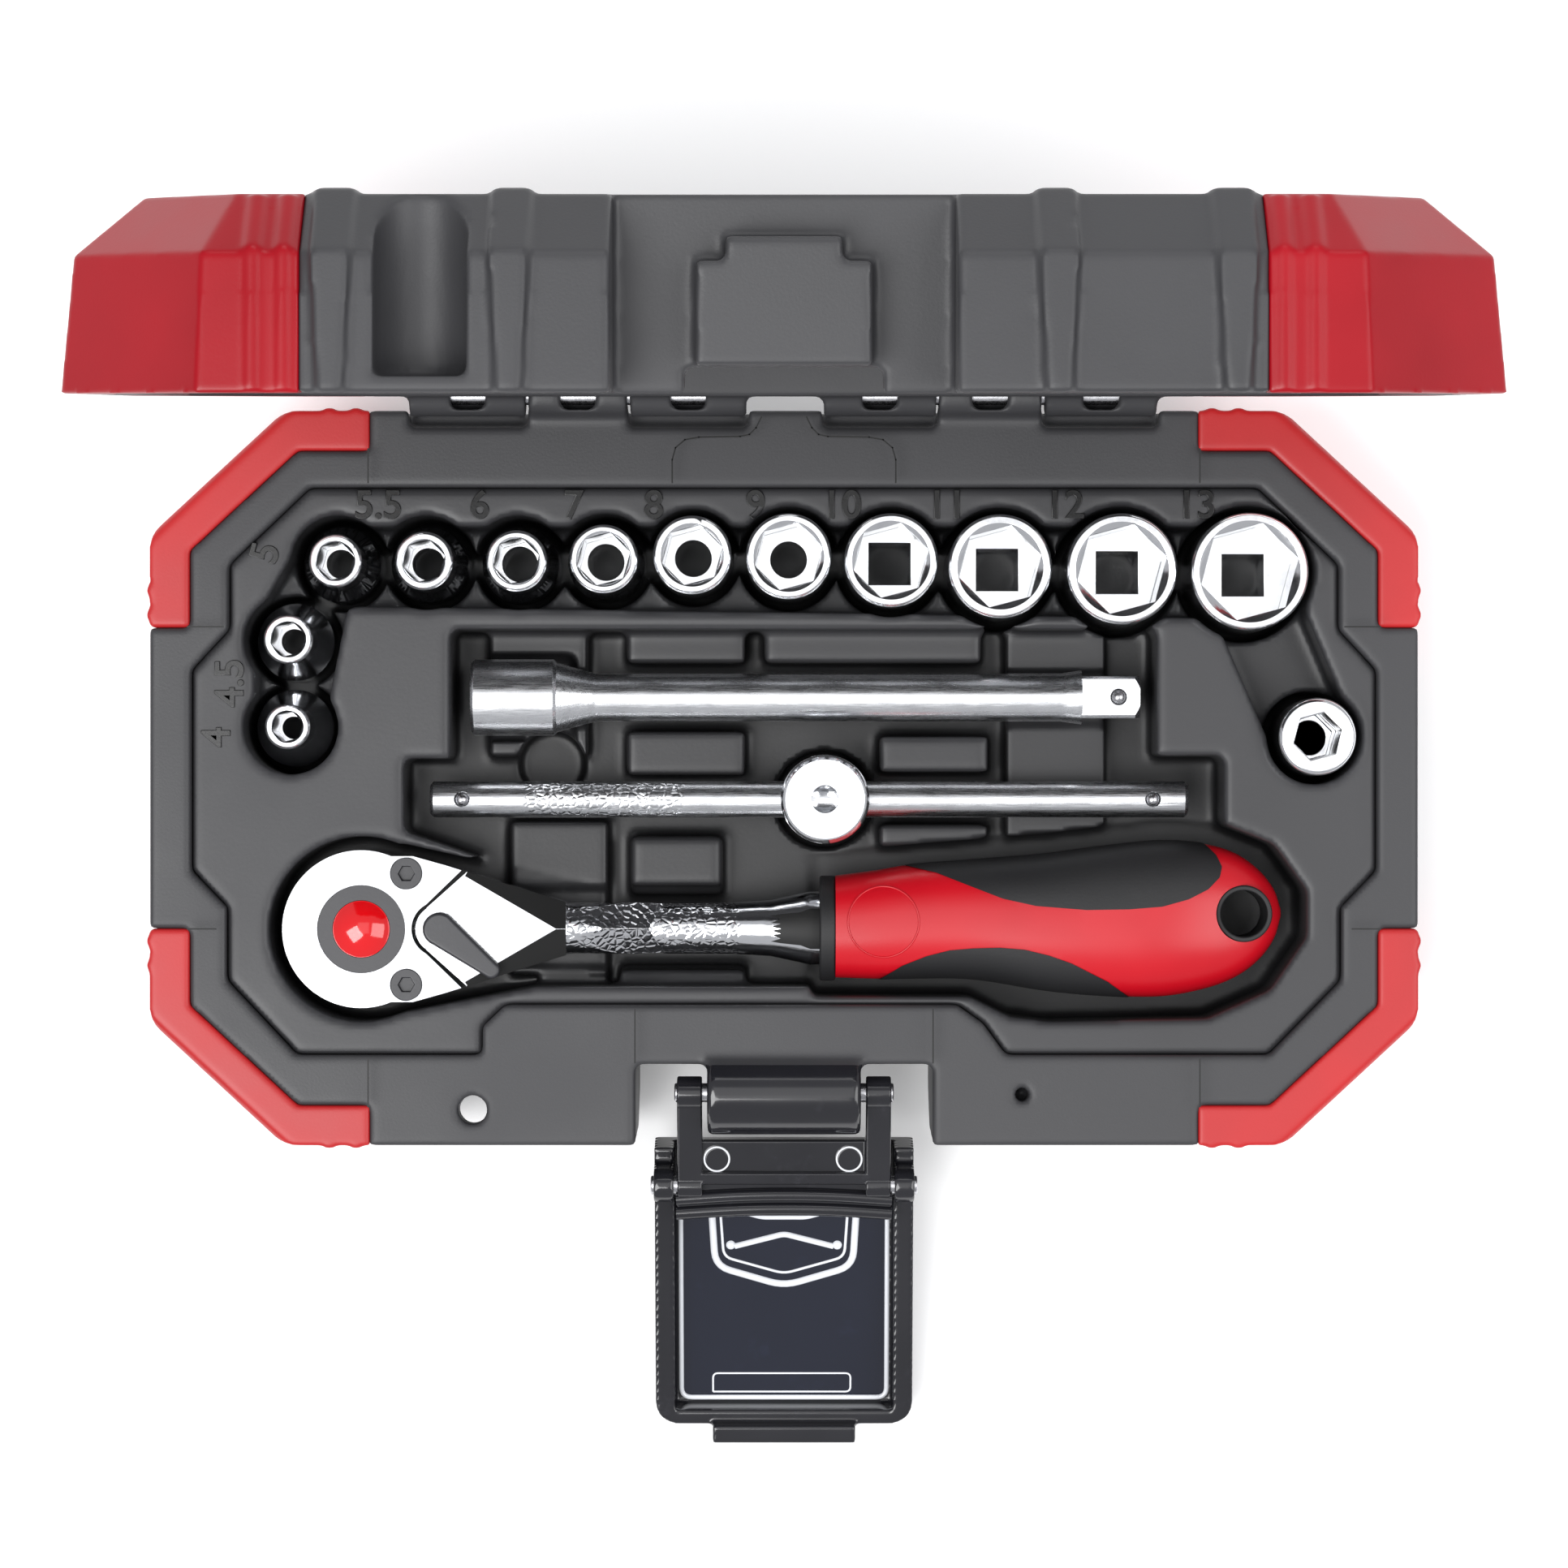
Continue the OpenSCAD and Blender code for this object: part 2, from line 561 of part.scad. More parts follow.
module ratchet_cover_screws() color(DARK)
  for (s = [-1, 1]) translate([-57, wrench_y + s * 8.4, 0]) difference() {
    union() {
      translate([0, 0, 16]) cylinder(r = 1.15, h = 9);
      translate([0, 0, head_top - 1.15]) cylinder(r = 2.4, h = 1.1);
    }
    translate([0, 0, head_top - 0.95]) cylinder(r = 1.25, h = 2, $fn = 6);
  }

module ratchet_drive_gear() color(DARK) difference() {
  translate([head_x, wrench_y, 0]) {
    translate([0, 0, 16.8]) cylinder(r = 7.5, h = 6.4);
    translate([0, 0, 23.1]) cylinder(r = 6.6, h = head_top - 0.2 - 23.1);
    translate([0, 0, head_low - 0.6]) cylinder(r = 6, h = 3);
    translate([0, 0, head_low - 0.5]) mirror([0, 0, 1]) drive_square(8);
  }
  translate([head_x, wrench_y, 0]) {
    for (i = [0:gear_teeth - 1]) rotate([0, 0, i * 360 / gear_teeth]) translate([7.7, 0, 16])
      rotate([0, 0, 45]) translate([-0.35, -0.35, 0]) cube([0.7, 0.7, 8]);
    translate([0, 0, 20.4]) cylinder(r = 4.3 + run, h = 10);
    translate([0, 0, 9.2]) cylinder(r = 1.5 + run, h = 12);
    translate([0, 0, 9.6]) rotate([0, 90, 0]) cylinder(r = 1.2, h = 6);
  }
}

module ratchet_drive_ball() color(STEEL) translate([head_x + 2.75, wrench_y, 9.6]) sphere(r = 1.1);

module ratchet_release_button() color(RED) translate([head_x, wrench_y, 0]) {
  translate([0, 0, 23.4]) cylinder(r = 4.3, h = 2.4);
  intersection() {
    translate([0, 0, 25.7]) cylinder(r = 4.3, h = 3);
    translate([0, 0, 20.2]) sphere(r = 7);
  }
  translate([0, 0, 11.8]) cylinder(r = 1.5, h = 12);
}

module ratchet_button_spring() color(STEEL) translate([head_x, wrench_y, 0])
  for (i = [0:3]) translate([0, 0, 20.75 + i * 0.75]) rotate_extrude() translate([3, 0]) circle(r = 0.3, $fn = 16);

module ratchet_reverse_lever() color(DARK) translate([lever_x, wrench_y, 0]) {
  rotate([0, 0, -38]) {
    translate([0, 0, tongue_top + 0.15]) {
      cylinder(r = 2.5, h = 1.9);
      linear_extrude(1.9) polygon([[0, 2.5], [10, 1.3], [10, -1.3], [0, -2.5]]);
      translate([10, 0, 0]) cylinder(r = 1.3, h = 1.9);
    }
  }
  translate([0, 0, 22]) cylinder(r = 1.15, h = 3.5);
}

module ratchet_pawl() color(STEEL) translate([lever_x, wrench_y, 16.8]) rotate([0, 0, -4.5]) difference() {
  union() {
    cylinder(r = 3.4, h = 4.8);
    linear_extrude(4.8) polygon([[0, -2.6], [-3.9, -1.9], [-3.9, 1.9], [0, 2.6]]);
  }
  box(2, 5, -5, 5, -1, 6);
}

module ratchet_collar() color(DARK) difference() {
  rod_x(5.4, 7.8, wrench_y, wrench_z, 8);
  rod_x(5, 8, wrench_y, wrench_z, 4 + run);
}

HANDLE = [[7.8, -14.8], [18.5, -13.2], [39.5, -11.6], [57, -9.4], [63.6, -9.9], [68.5, -11],
  [72.9, -13.2], [75.5, -20.3], [73.4, -26.9], [69.1, -30.2], [62.5, -32.3], [55.9, -33.2],
  [52.4, -33], [41.8, -32.6], [28.6, -30.3], [14.4, -30.5], [7.8, -30.3]];
GRIP_UPPER = [[18.5, -10], [18.5, -13.2], [28.6, -16.5], [36.3, -19], [45.6, -19.8], [57, -19.5],
  [63.1, -17.6], [66.2, -13.8], [63.6, -9.9], [63.6, -5]];
GRIP_LOWER = [[14.4, -36], [14.4, -30.5], [21.5, -26.9], [28.6, -25.7], [36.3, -25.8],
  [43.4, -28], [48.9, -30.7], [52.4, -33], [52.4, -36]];

// the handle's whole form: its outline from above, trimmed to its outline from the side
module handle_form() {
  intersection() {
    translate([0, 0, 5]) linear_extrude(30) polygon(HANDLE);
    translate([0, 0, wrench_z]) rotate([90, 0, 0]) linear_extrude(50)
      polygon([[7.8, -8], [20, -8.4], [50, -8.6], [66, -7.6], [73, -5.4], [75.5, -2.6],
               [75.5, 2.6], [73, 5.4], [66, 7.6], [50, 8.2], [20, 7.6], [7.8, 7.8]]);
  }
}

module ratchet_handle_core() color(RED) difference() {
  handle_form();
  translate([0, 0, 4]) linear_extrude(32) polygon(GRIP_UPPER);
  translate([0, 0, 4]) linear_extrude(32) polygon(GRIP_LOWER);
  rod_x(7, 18.3, wrench_y, wrench_z, 4 + run);
  translate([69.5, -20.5, 0]) cylinder(r = 4.3, h = 40);
}

module ratchet_grip_upper() color(DARK) intersection() {
  handle_form();
  translate([0, 0, 4]) linear_extrude(32) polygon(GRIP_UPPER);
}

module ratchet_grip_lower() color(DARK) intersection() {
  handle_form();
  translate([0, 0, 4]) linear_extrude(32) polygon(GRIP_LOWER);
}

module ratchet_grommet() color(DARK) translate([69.5, -20.5, wrench_z - 6]) difference() {
  cylinder(r = 4.3, h = 12);
  translate([0, 0, -1]) cylinder(r = 3.5, h = 14);
}

// ---------- every node ----------
base_shell();
tray_insert();
for (c = CORNERS) {
  base_guard(c[1], c[2]);
  lid_guard(c[1], c[2]);
}
lid_shell();
hinge_pins();
latch_base_pin();
latch_link();
latch_plate();
latch_plate_pins();
for (s = SOCKETS)
  socket(s[1], s[2], s[3], s[4]);
bit_adapter();
bit_adapter_clip();
extension_bar();
extension_ball();
t_handle_bar();
t_bar_balls();
t_handle_head();
t_head_ball();
ratchet_body();
ratchet_cover_plate();
ratchet_cover_screws();
ratchet_drive_gear();
ratchet_drive_ball();
ratchet_release_button();
ratchet_button_spring();
ratchet_reverse_lever();
ratchet_pawl();
ratchet_collar();
ratchet_handle_core();
ratchet_grip_upper();
ratchet_grip_lower();
ratchet_grommet();
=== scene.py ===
import json
import math

import bmesh
import bpy
from mathutils import Matrix, Vector

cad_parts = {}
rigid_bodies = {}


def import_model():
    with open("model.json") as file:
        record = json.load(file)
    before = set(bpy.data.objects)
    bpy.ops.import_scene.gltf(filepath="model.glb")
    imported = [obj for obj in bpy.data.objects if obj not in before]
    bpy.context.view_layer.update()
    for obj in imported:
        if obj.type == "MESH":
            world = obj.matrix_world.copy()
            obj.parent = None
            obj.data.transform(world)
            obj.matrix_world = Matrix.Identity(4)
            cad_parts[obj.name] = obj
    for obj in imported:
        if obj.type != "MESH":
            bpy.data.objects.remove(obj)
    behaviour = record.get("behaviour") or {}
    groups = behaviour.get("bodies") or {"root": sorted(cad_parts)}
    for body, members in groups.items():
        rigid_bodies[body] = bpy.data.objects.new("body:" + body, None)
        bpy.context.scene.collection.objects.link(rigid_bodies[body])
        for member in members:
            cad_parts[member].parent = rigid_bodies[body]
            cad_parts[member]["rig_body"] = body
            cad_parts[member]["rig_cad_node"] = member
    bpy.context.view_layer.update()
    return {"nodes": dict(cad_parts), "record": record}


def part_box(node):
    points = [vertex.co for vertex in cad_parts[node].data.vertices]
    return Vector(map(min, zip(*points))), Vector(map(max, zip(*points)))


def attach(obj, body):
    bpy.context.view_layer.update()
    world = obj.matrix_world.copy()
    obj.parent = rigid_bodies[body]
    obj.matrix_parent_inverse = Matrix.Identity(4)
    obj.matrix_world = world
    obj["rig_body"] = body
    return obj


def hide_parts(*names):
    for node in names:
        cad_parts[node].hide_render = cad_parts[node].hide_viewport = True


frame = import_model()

NODES = frame["nodes"]

bl_info = {
    "name": "Socket Set Maker",
    "version": (1, 0, 0),
    "blender": (4, 5, 0),
    "location": "View3D > Sidebar > Socket Set",
    "description": "Finishes a socket wrench set and its case on a packed frame",
    "category": "Object",
}

MM = 0.001
SIZES = ("4", "4_5", "5", "5_5", "6", "7", "8", "9", "10", "11", "12", "13")
CORNERS = ("fl", "fr", "bl", "br")


# ---------- settings ----------
class CaseSettings(bpy.types.PropertyGroup):
    plastic: bpy.props.FloatVectorProperty(
        name="Case plastic", description="Colour of the shells and the tray", subtype="COLOR",
        size=3, min=0.0, max=1.0, default=(0.036, 0.036, 0.039))
    base_red: bpy.props.FloatVectorProperty(
        name="Base guards", description="Colour of the base's corner guards", subtype="COLOR",
        size=3, min=0.0, max=1.0, default=(0.45, 0.011, 0.013))
    lid_red: bpy.props.FloatVectorProperty(
        name="Lid guards", description="Colour of the lid's corner guards", subtype="COLOR",
        size=3, min=0.0, max=1.0, default=(0.3, 0.0, 0.006))
    edge: bpy.props.FloatProperty(
        name="Edge radius", description="Rounding of the moulded shells' edges", unit="LENGTH",
        default=0.9 * MM, min=0.2 * MM, max=1.5 * MM)
    tray_cell: bpy.props.FloatProperty(
        name="Tray cell", description="Cell size of the tray's smooth skin", unit="LENGTH",
        default=0.62 * MM, min=0.5 * MM, max=1.5 * MM)


class ToolSettings(bpy.types.PropertyGroup):
    chrome: bpy.props.FloatVectorProperty(
        name="Chrome", description="Colour of the plated steel", subtype="COLOR",
        size=3, min=0.0, max=1.0, default=(0.83, 0.84, 0.86))
    handle_red: bpy.props.FloatVectorProperty(
        name="Handle", description="Colour of the ratchet's handle", subtype="COLOR",
        size=3, min=0.0, max=1.0, default=(0.5, 0.003, 0.011))
    grip: bpy.props.FloatVectorProperty(
        name="Grip", description="Colour of the soft grips", subtype="COLOR",
        size=3, min=0.0, max=1.0, default=(0.009, 0.009, 0.01))
    edge: bpy.props.FloatProperty(
        name="Edge radius", description="Rounding of the tools' edges", unit="LENGTH",
        default=0.3 * MM, min=0.05 * MM, max=0.6 * MM)


# ---------- shader groups and materials ----------
def new_group(name, inputs, outputs):
    group = bpy.data.node_groups.new(name, "ShaderNodeTree")
    for label, kind, value in inputs:
        socket = group.interface.new_socket(label, in_out="INPUT", socket_type="NodeSocket" + kind)
        socket.default_value = value
    for label, kind in outputs:
        group.interface.new_socket(label, in_out="OUTPUT", socket_type="NodeSocket" + kind)
    return group, group.nodes.new("NodeGroupInput"), group.nodes.new("NodeGroupOutput")


def add_noise(tree, vector, detail, roughness=0.5):
    noise = tree.nodes.new("ShaderNodeTexNoise")
    noise.inputs["Detail"].default_value = detail
    noise.inputs["Roughness"].default_value = roughness
    tree.links.new(vector, noise.inputs["Vector"])
    return noise


def add_range(tree, value, low, high, to_low, to_high):
    node = tree.nodes.new("ShaderNodeMapRange")
    for key, number in (("From Min", low), ("From Max", high), ("To Min", to_low), ("To Max", to_high)):
        if hasattr(number, "is_linked"):
            tree.links.new(number, node.inputs[key])
        else:
            node.inputs[key].default_value = number
    tree.links.new(value, node.inputs["Value"])
    return node.outputs["Result"]


def add_mix(tree, factor, first, second):
    node = tree.nodes.new("ShaderNodeMix")
    node.data_type = "RGBA"
    tree.links.new(factor, node.inputs["Factor"])
    for socket, colour in ((node.inputs["A"], first), (node.inputs["B"], second)):
        if hasattr(colour, "is_linked"):
            tree.links.new(colour, socket)
        else:
            socket.default_value = colour
    return node.outputs["Result"]


def moulded_group():
    """Grain, faint flow marks and handling scuffs of moulded plastic."""
    group, inside, outside = new_group(
        "Moulded Surface",
        [("Color", "Color", (0.1, 0.1, 0.1, 1)), ("Scuff Color", "Color", (0.3, 0.3, 0.3, 1)),
         ("Grain Scale", "Float", 2500.0), ("Rough Low", "Float", 0.35), ("Rough High", "Float", 0.55),
         ("Scuffs", "Float", 0.1)],
        [("Color", "Color"), ("Roughness", "Float"), ("Height", "Float")])
    coord = group.nodes.new("ShaderNodeTexCoord").outputs["Object"]
    grain = add_noise(group, coord, 2.0)
    group.links.new(inside.outputs["Grain Scale"], grain.inputs["Scale"])
    clouds = add_noise(group, coord, 3.0)
    clouds.inputs["Scale"].default_value = 35.0
    scuffs = add_noise(group, coord, 6.0, 0.7)
    scuffs.inputs["Scale"].default_value = 160.0
    mask = add_range(group, scuffs.outputs["Fac"], 0.6, 0.75, 0.0, 1.0)
    amount = group.nodes.new("ShaderNodeMath")
    amount.operation = "MULTIPLY"
    group.links.new(mask, amount.inputs[0])
    group.links.new(inside.outputs["Scuffs"], amount.inputs[1])
    shade = group.nodes.new("ShaderNodeHueSaturation")
    group.links.new(inside.outputs["Color"], shade.inputs["Color"])
    group.links.new(add_range(group, clouds.outputs["Fac"], 0.3, 0.7, 0.9, 1.12), shade.inputs["Value"])
    group.links.new(add_mix(group, amount.outputs["Value"], shade.outputs["Color"],
                            inside.outputs["Scuff Color"]), outside.inputs["Color"])
    group.links.new(add_range(group, clouds.outputs["Fac"], 0.3, 0.7, inside.outputs["Rough Low"],
                              inside.outputs["Rough High"]), outside.inputs["Roughness"])
    group.links.new(grain.outputs["Fac"], outside.inputs["Height"])
    return group


def plated_group():
    """Polishing lines and water stains of plated steel."""
    group, inside, outside = new_group(
        "Plated Surface",
        [("Color", "Color", (0.8, 0.8, 0.8, 1)), ("Stain Color", "Color", (0.6, 0.6, 0.58, 1)),
         ("Lines", "Vector", (400.0, 4000.0, 4000.0)), ("Rough Low", "Float", 0.06),
         ("Rough High", "Float", 0.2), ("Stains", "Float", 0.3)],
        [("Color", "Color"), ("Roughness", "Float"), ("Height", "Float")])
    coord = group.nodes.new("ShaderNodeTexCoord").outputs["Object"]
    stretch = group.nodes.new("ShaderNodeVectorMath")
    stretch.operation = "MULTIPLY"
    group.links.new(coord, stretch.inputs[0])
    group.links.new(inside.outputs["Lines"], stretch.inputs[1])
    lines = add_noise(group, stretch.outputs["Vector"], 3.0, 0.6)
    lines.inputs["Scale"].default_value = 1.0
    stains = add_noise(group, coord, 5.0, 0.65)
    stains.inputs["Scale"].default_value = 220.0
    mask = add_range(group, stains.outputs["Fac"], 0.5, 0.72, 0.0, 1.0)
    amount = group.nodes.new("ShaderNodeMath")
    amount.operation = "MULTIPLY"
    group.links.new(mask, amount.inputs[0])
    group.links.new(inside.outputs["Stains"], amount.inputs[1])
    group.links.new(add_mix(group, amount.outputs["Value"], inside.outputs["Color"],
                            inside.outputs["Stain Color"]), outside.inputs["Color"])
    group.links.new(add_range(group, lines.outputs["Fac"], 0.3, 0.7, inside.outputs["Rough Low"],
                              inside.outputs["Rough High"]), outside.inputs["Roughness"])
    group.links.new(lines.outputs["Fac"], outside.inputs["Height"])
    return group


def add_patch(tree, height, start, end):
    """Adds a crackled relief to a height between two places along X."""
    coord = tree.nodes.new("ShaderNodeTexCoord").outputs["Object"]
    split = tree.nodes.new("ShaderNodeSeparateXYZ")
    tree.links.new(coord, split.inputs["Vector"])
    cells = tree.nodes.new("ShaderNodeTexVoronoi")
    cells.feature = "DISTANCE_TO_EDGE"
    cells.inputs["Scale"].default_value = 900.0
    tree.links.new(coord, cells.inputs["Vector"])
    relief = add_range(tree, cells.outputs["Distance"], 0.0, 0.25, -6.0, 0.0)
    total = relief
    for low, high, before, after in ((start, start + 0.001, 0.0, 1.0), (end - 0.001, end, 1.0, 0.0)):
        part = tree.nodes.new("ShaderNodeMath")
        part.operation = "MULTIPLY"
        tree.links.new(total, part.inputs[0])
        tree.links.new(add_range(tree, split.outputs["X"], low, high, before, after), part.inputs[1])
        total = part.outputs["Value"]
    both = tree.nodes.new("ShaderNodeMath")
    both.operation = "ADD"
    tree.links.new(height, both.inputs[0])
    tree.links.new(total, both.inputs[1])
    return both.outputs["Value"]


def finish_material(name, group, values, bump, recess_shade=None, patch=None, **shader):
    """A Principled material fed by one surface group; values fill the group's own inputs.
    With recess_shade, (height, height, value), painted shade darkens the colour to that value from the second
    height down, standing in for shade in recesses."""
    material = bpy.data.materials.new(name)
    material.use_nodes = True
    tree = material.node_tree
    principled = tree.nodes["Principled BSDF"]
    surface = tree.nodes.new("ShaderNodeGroup")
    surface.node_tree = group
    for key, value in values.items():
        surface.inputs[key].default_value = value
    colour = surface.outputs["Color"]
    # Painted shade: lower parts get a darker colour, standing in for shade in recesses.
    if recess_shade:
        split = tree.nodes.new("ShaderNodeSeparateXYZ")
        tree.links.new(tree.nodes.new("ShaderNodeTexCoord").outputs["Object"], split.inputs["Vector"])
        painted_shade = tree.nodes.new("ShaderNodeHueSaturation")
        tree.links.new(add_range(tree, split.outputs["Z"], recess_shade[0], recess_shade[1], recess_shade[2], 1.0),
                       painted_shade.inputs["Value"])
        tree.links.new(colour, painted_shade.inputs["Color"])
        colour = painted_shade.outputs["Color"]
    tree.links.new(colour, principled.inputs["Base Color"])
    tree.links.new(surface.outputs["Roughness"], principled.inputs["Roughness"])
    relief = tree.nodes.new("ShaderNodeBump")
    relief.inputs["Strength"].default_value = bump
    relief.inputs["Distance"].default_value = 0.05 * MM
    height = surface.outputs["Height"]
    if patch:
        height = add_patch(tree, height, *patch)
    tree.links.new(height, relief.inputs["Height"])
    tree.links.new(relief.outputs["Normal"], principled.inputs["Normal"])
    for key, value in shader.items():
        principled.inputs[key.replace("_", " ")].default_value = value
    return material


def opaque(colour, gain=1.0):
    return tuple(min(1.0, c * gain) for c in colour) + (1.0,)


def make_materials():
    case = bpy.context.scene.socket_case
    tools = bpy.context.scene.socket_tools
    moulded = moulded_group()
    plated = plated_group()
    plastic = opaque(case.plastic)
    made = {}

    def plastic_finish(name, colour, low, high, bump, scuffs=0.1, scale=2500.0, gain=1.8, recess_shade=None,
                       **shader):
        made[name] = finish_material(
            name, moulded,
            {"Color": colour, "Scuff Color": opaque(colour[:3], gain), "Grain Scale": scale,
             "Rough Low": low, "Rough High": high, "Scuffs": scuffs}, bump, recess_shade, **shader)

    def metal_finish(name, colour, lines, low, high, stains, bump, stain=None, patch=None, **shader):
        made[name] = finish_material(
            name, plated,
            {"Color": colour, "Stain Color": stain or opaque(colour[:3], 0.72), "Lines": lines,
             "Rough Low": low, "Rough High": high, "Stains": stains}, bump, None, patch, Metallic=1.0,
            **shader)

    plastic_finish("case_plastic", plastic, 0.42, 0.56, 0.35)
    # The tray's colour darkens with depth below 24 mm, down to 0.22 at 8.5 mm: painted shade in its pockets.
    plastic_finish("tray_plastic", opaque(case.plastic, 0.95), 0.38, 0.52, 0.25, scale=1800.0,
                   recess_shade=(8.5 * MM, 24.0 * MM, 0.22))
    plastic_finish("guard_red", opaque(case.base_red), 0.38, 0.5, 0.2, gain=1.25)
    plastic_finish("lid_red", opaque(case.lid_red), 0.3, 0.42, 0.15, gain=1.3, Specular_IOR_Level=0.3)
    plastic_finish("latch_plastic", (0.012, 0.012, 0.015, 1), 0.12, 0.22, 0.05, scuffs=0.3, gain=4.0,
                   Coat_Weight=0.3)
    plastic_finish("latch_window", (0.006, 0.008, 0.018, 1), 0.06, 0.14, 0.02, scuffs=0.2, gain=4.0,
                   Coat_Weight=0.6)
    plastic_finish("button_red", (0.62, 0.003, 0.006, 1), 0.08, 0.14, 0.02, gain=1.2, Coat_Weight=0.6)
    plastic_finish("handle_red", opaque(tools.handle_red), 0.28, 0.38, 0.1, gain=1.2)
    plastic_finish("grip_rubber", opaque(tools.grip), 0.5, 0.66, 0.35, scuffs=0.15, gain=2.5)
    plastic_finish("number_ink", opaque(case.plastic, 0.08), 0.2, 0.3, 0.1)
    # Pale beads on the latch: painted highlights standing in for the glints on its glossy rounded edges.
    plastic_finish("latch_highlight", (0.78, 0.8, 0.84, 1), 0.12, 0.2, 0.02, gain=1.05, Coat_Weight=0.5)
    # Near-black: the rim's dark joint lines, and painted shade in the gap round the ratchet's tongue.
    plastic_finish("seam_and_painted_shade", (0.004, 0.004, 0.004, 1), 0.5, 0.7, 0.05)
    chrome = opaque(tools.chrome)
    metal_finish("socket_chrome", chrome, (900.0, 900.0, 5000.0), 0.1, 0.22, 0.3, 0.03)
    metal_finish("bar_chrome", chrome, (300.0, 5000.0, 5000.0), 0.2, 0.36, 0.45, 0.08)
    metal_finish("head_chrome", opaque(tools.chrome, 1.05), (500.0, 3000.0, 3000.0), 0.05, 0.12, 0.2, 0.02)
    metal_finish("neck_chrome", opaque(tools.chrome, 1.05), (500.0, 3000.0, 3000.0), 0.07, 0.16, 0.2, 0.25,
                 patch=(-34.5 * MM, -6.5 * MM))
    metal_finish("mark_chrome", opaque(tools.chrome, 0.9), (300.0, 5000.0, 5000.0), 0.2, 0.36, 0.45, 0.3,
                 patch=(-39.5 * MM, -15.0 * MM))
    metal_finish("pin_steel", (0.55, 0.55, 0.57, 1), (2000.0, 2000.0, 2000.0), 0.2, 0.35, 0.4, 0.05)
    plastic_finish("black_steel", (0.028, 0.028, 0.032, 1), 0.3, 0.42, 0.15, scuffs=0.3, gain=2.5)
    return made


MATERIALS = {}


# ---------- shared modelling steps ----------
def only(obj):
    """Deselects everything, then selects and activates one object."""
    if bpy.context.mode != "OBJECT":
        bpy.ops.object.mode_set(mode="OBJECT")
    bpy.ops.object.select_all(action="DESELECT")
    obj.hide_set(False)
    obj.select_set(True)
    bpy.context.view_layer.objects.active = obj


def apply_modifier(obj, kind, **values):
    only(obj)
    modifier = obj.modifiers.new(kind.title(), kind)
    for key, value in values.items():
        setattr(modifier, key, value)
    bpy.ops.object.modifier_apply(modifier=modifier.name)


def copy_of(node, name):
    """A merged and cleaned copy of a CAD node, free of its parent."""
    source = NODES[node]
    only(source)
    bpy.ops.object.duplicate()
    piece = bpy.context.view_layer.objects.active
    piece.parent = None
    piece.matrix_world = Matrix.Identity(4)
    piece.name = name
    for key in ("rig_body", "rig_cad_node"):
        if key in piece:
            del piece[key]
    piece.data.materials.clear()
    bpy.ops.object.mode_set(mode="EDIT")
    bpy.ops.mesh.select_all(action="SELECT")
    bpy.ops.mesh.remove_doubles(threshold=0.002 * MM)
    bpy.ops.mesh.dissolve_limited(angle_limit=math.radians(0.6))
    bpy.ops.object.mode_set(mode="OBJECT")
    return piece


def smooth_by_angle(obj, degrees):
    only(obj)
    bpy.ops.object.shade_smooth_by_angle(angle=math.radians(degrees))


def settle(piece, node, slot, finish=None):
    """Gives a piece its finish and its body, and hides the CAD node it stands for."""
    piece.data.materials.clear()
    piece.data.materials.append(MATERIALS[finish or slot])
    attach(piece, NODES[node]["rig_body"])
    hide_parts(node)


def round_edges(piece, radius, segments=3, angle=28, clamp=True):
    apply_modifier(piece, "BEVEL", width=radius, segments=segments, limit_method="ANGLE",
                   angle_limit=math.radians(angle), use_clamp_overlap=clamp, harden_normals=False)


def even_shading(piece, degrees=35):
    """Smooth shading that keeps the flat faces flat."""
    smooth_by_angle(piece, degrees)
    apply_modifier(piece, "WEIGHTED_NORMAL", mode="FACE_AREA", weight=50, keep_sharp=True)


def rounded(node, slot, radius, segments=3, angle=28, finish=None, smooth=35, clamp=True, prepare=None):
    """A CAD node's form with its edges rounded."""
    piece = copy_of(node, node + "_piece")
    if prepare:
        prepare(piece)
    round_edges(piece, radius, segments, angle, clamp)
    even_shading(piece, smooth)
    settle(piece, node, slot, finish)
    return piece


def bevel_where(piece, test, offset, segments):
    """Bevels the edges whose two ends pass a test, in edit mode."""
    only(piece)
    bpy.ops.object.mode_set(mode="EDIT")
    bpy.ops.mesh.select_mode(type="EDGE")
    bpy.ops.mesh.select_all(action="DESELECT")
    mesh = bmesh.from_edit_mesh(piece.data)
    for edge in mesh.edges:
        edge.select = test(edge.verts[0].co, edge.verts[1].co)
    mesh.select_flush(True)
    bmesh.update_edit_mesh(piece.data)
    bpy.ops.mesh.bevel(offset=offset, segments=segments, clamp_overlap=True)
    bpy.ops.object.mode_set(mode="OBJECT")


def loft(name, rings):
    """A closed skin through equal rings of points, with flat ends."""
    mesh = bpy.data.meshes.new(name)
    count = len(rings[0])
    points = [p for ring in rings for p in ring]
    faces = [(k * count + i, k * count + (i + 1) % count, (k + 1) * count + (i + 1) % count,
              (k + 1) * count + i) for k in range(len(rings) - 1) for i in range(count)]
    faces.append(tuple(range(count))[::-1])
    faces.append(tuple(len(points) - count + i for i in range(count)))
    mesh.from_pydata(points, [], faces)
    obj = bpy.data.objects.new(name, mesh)
    bpy.context.scene.collection.objects.link(obj)
    only(obj)
    bpy.ops.object.mode_set(mode="EDIT")
    bpy.ops.mesh.select_all(action="SELECT")
    bpy.ops.mesh.normals_make_consistent(inside=False)
    bpy.ops.object.mode_set(mode="OBJECT")
    return obj


def prism(name, outline, low, high):
    rings = [[(x * MM, y * MM, z) for x, y in outline] for z in (low, high)]
    return loft(name, rings)


def combine(obj, other, operation):
    apply_modifier(obj, "BOOLEAN", object=other, operation=operation, solver="EXACT")


def drop(obj):
    bpy.data.objects.remove(obj)


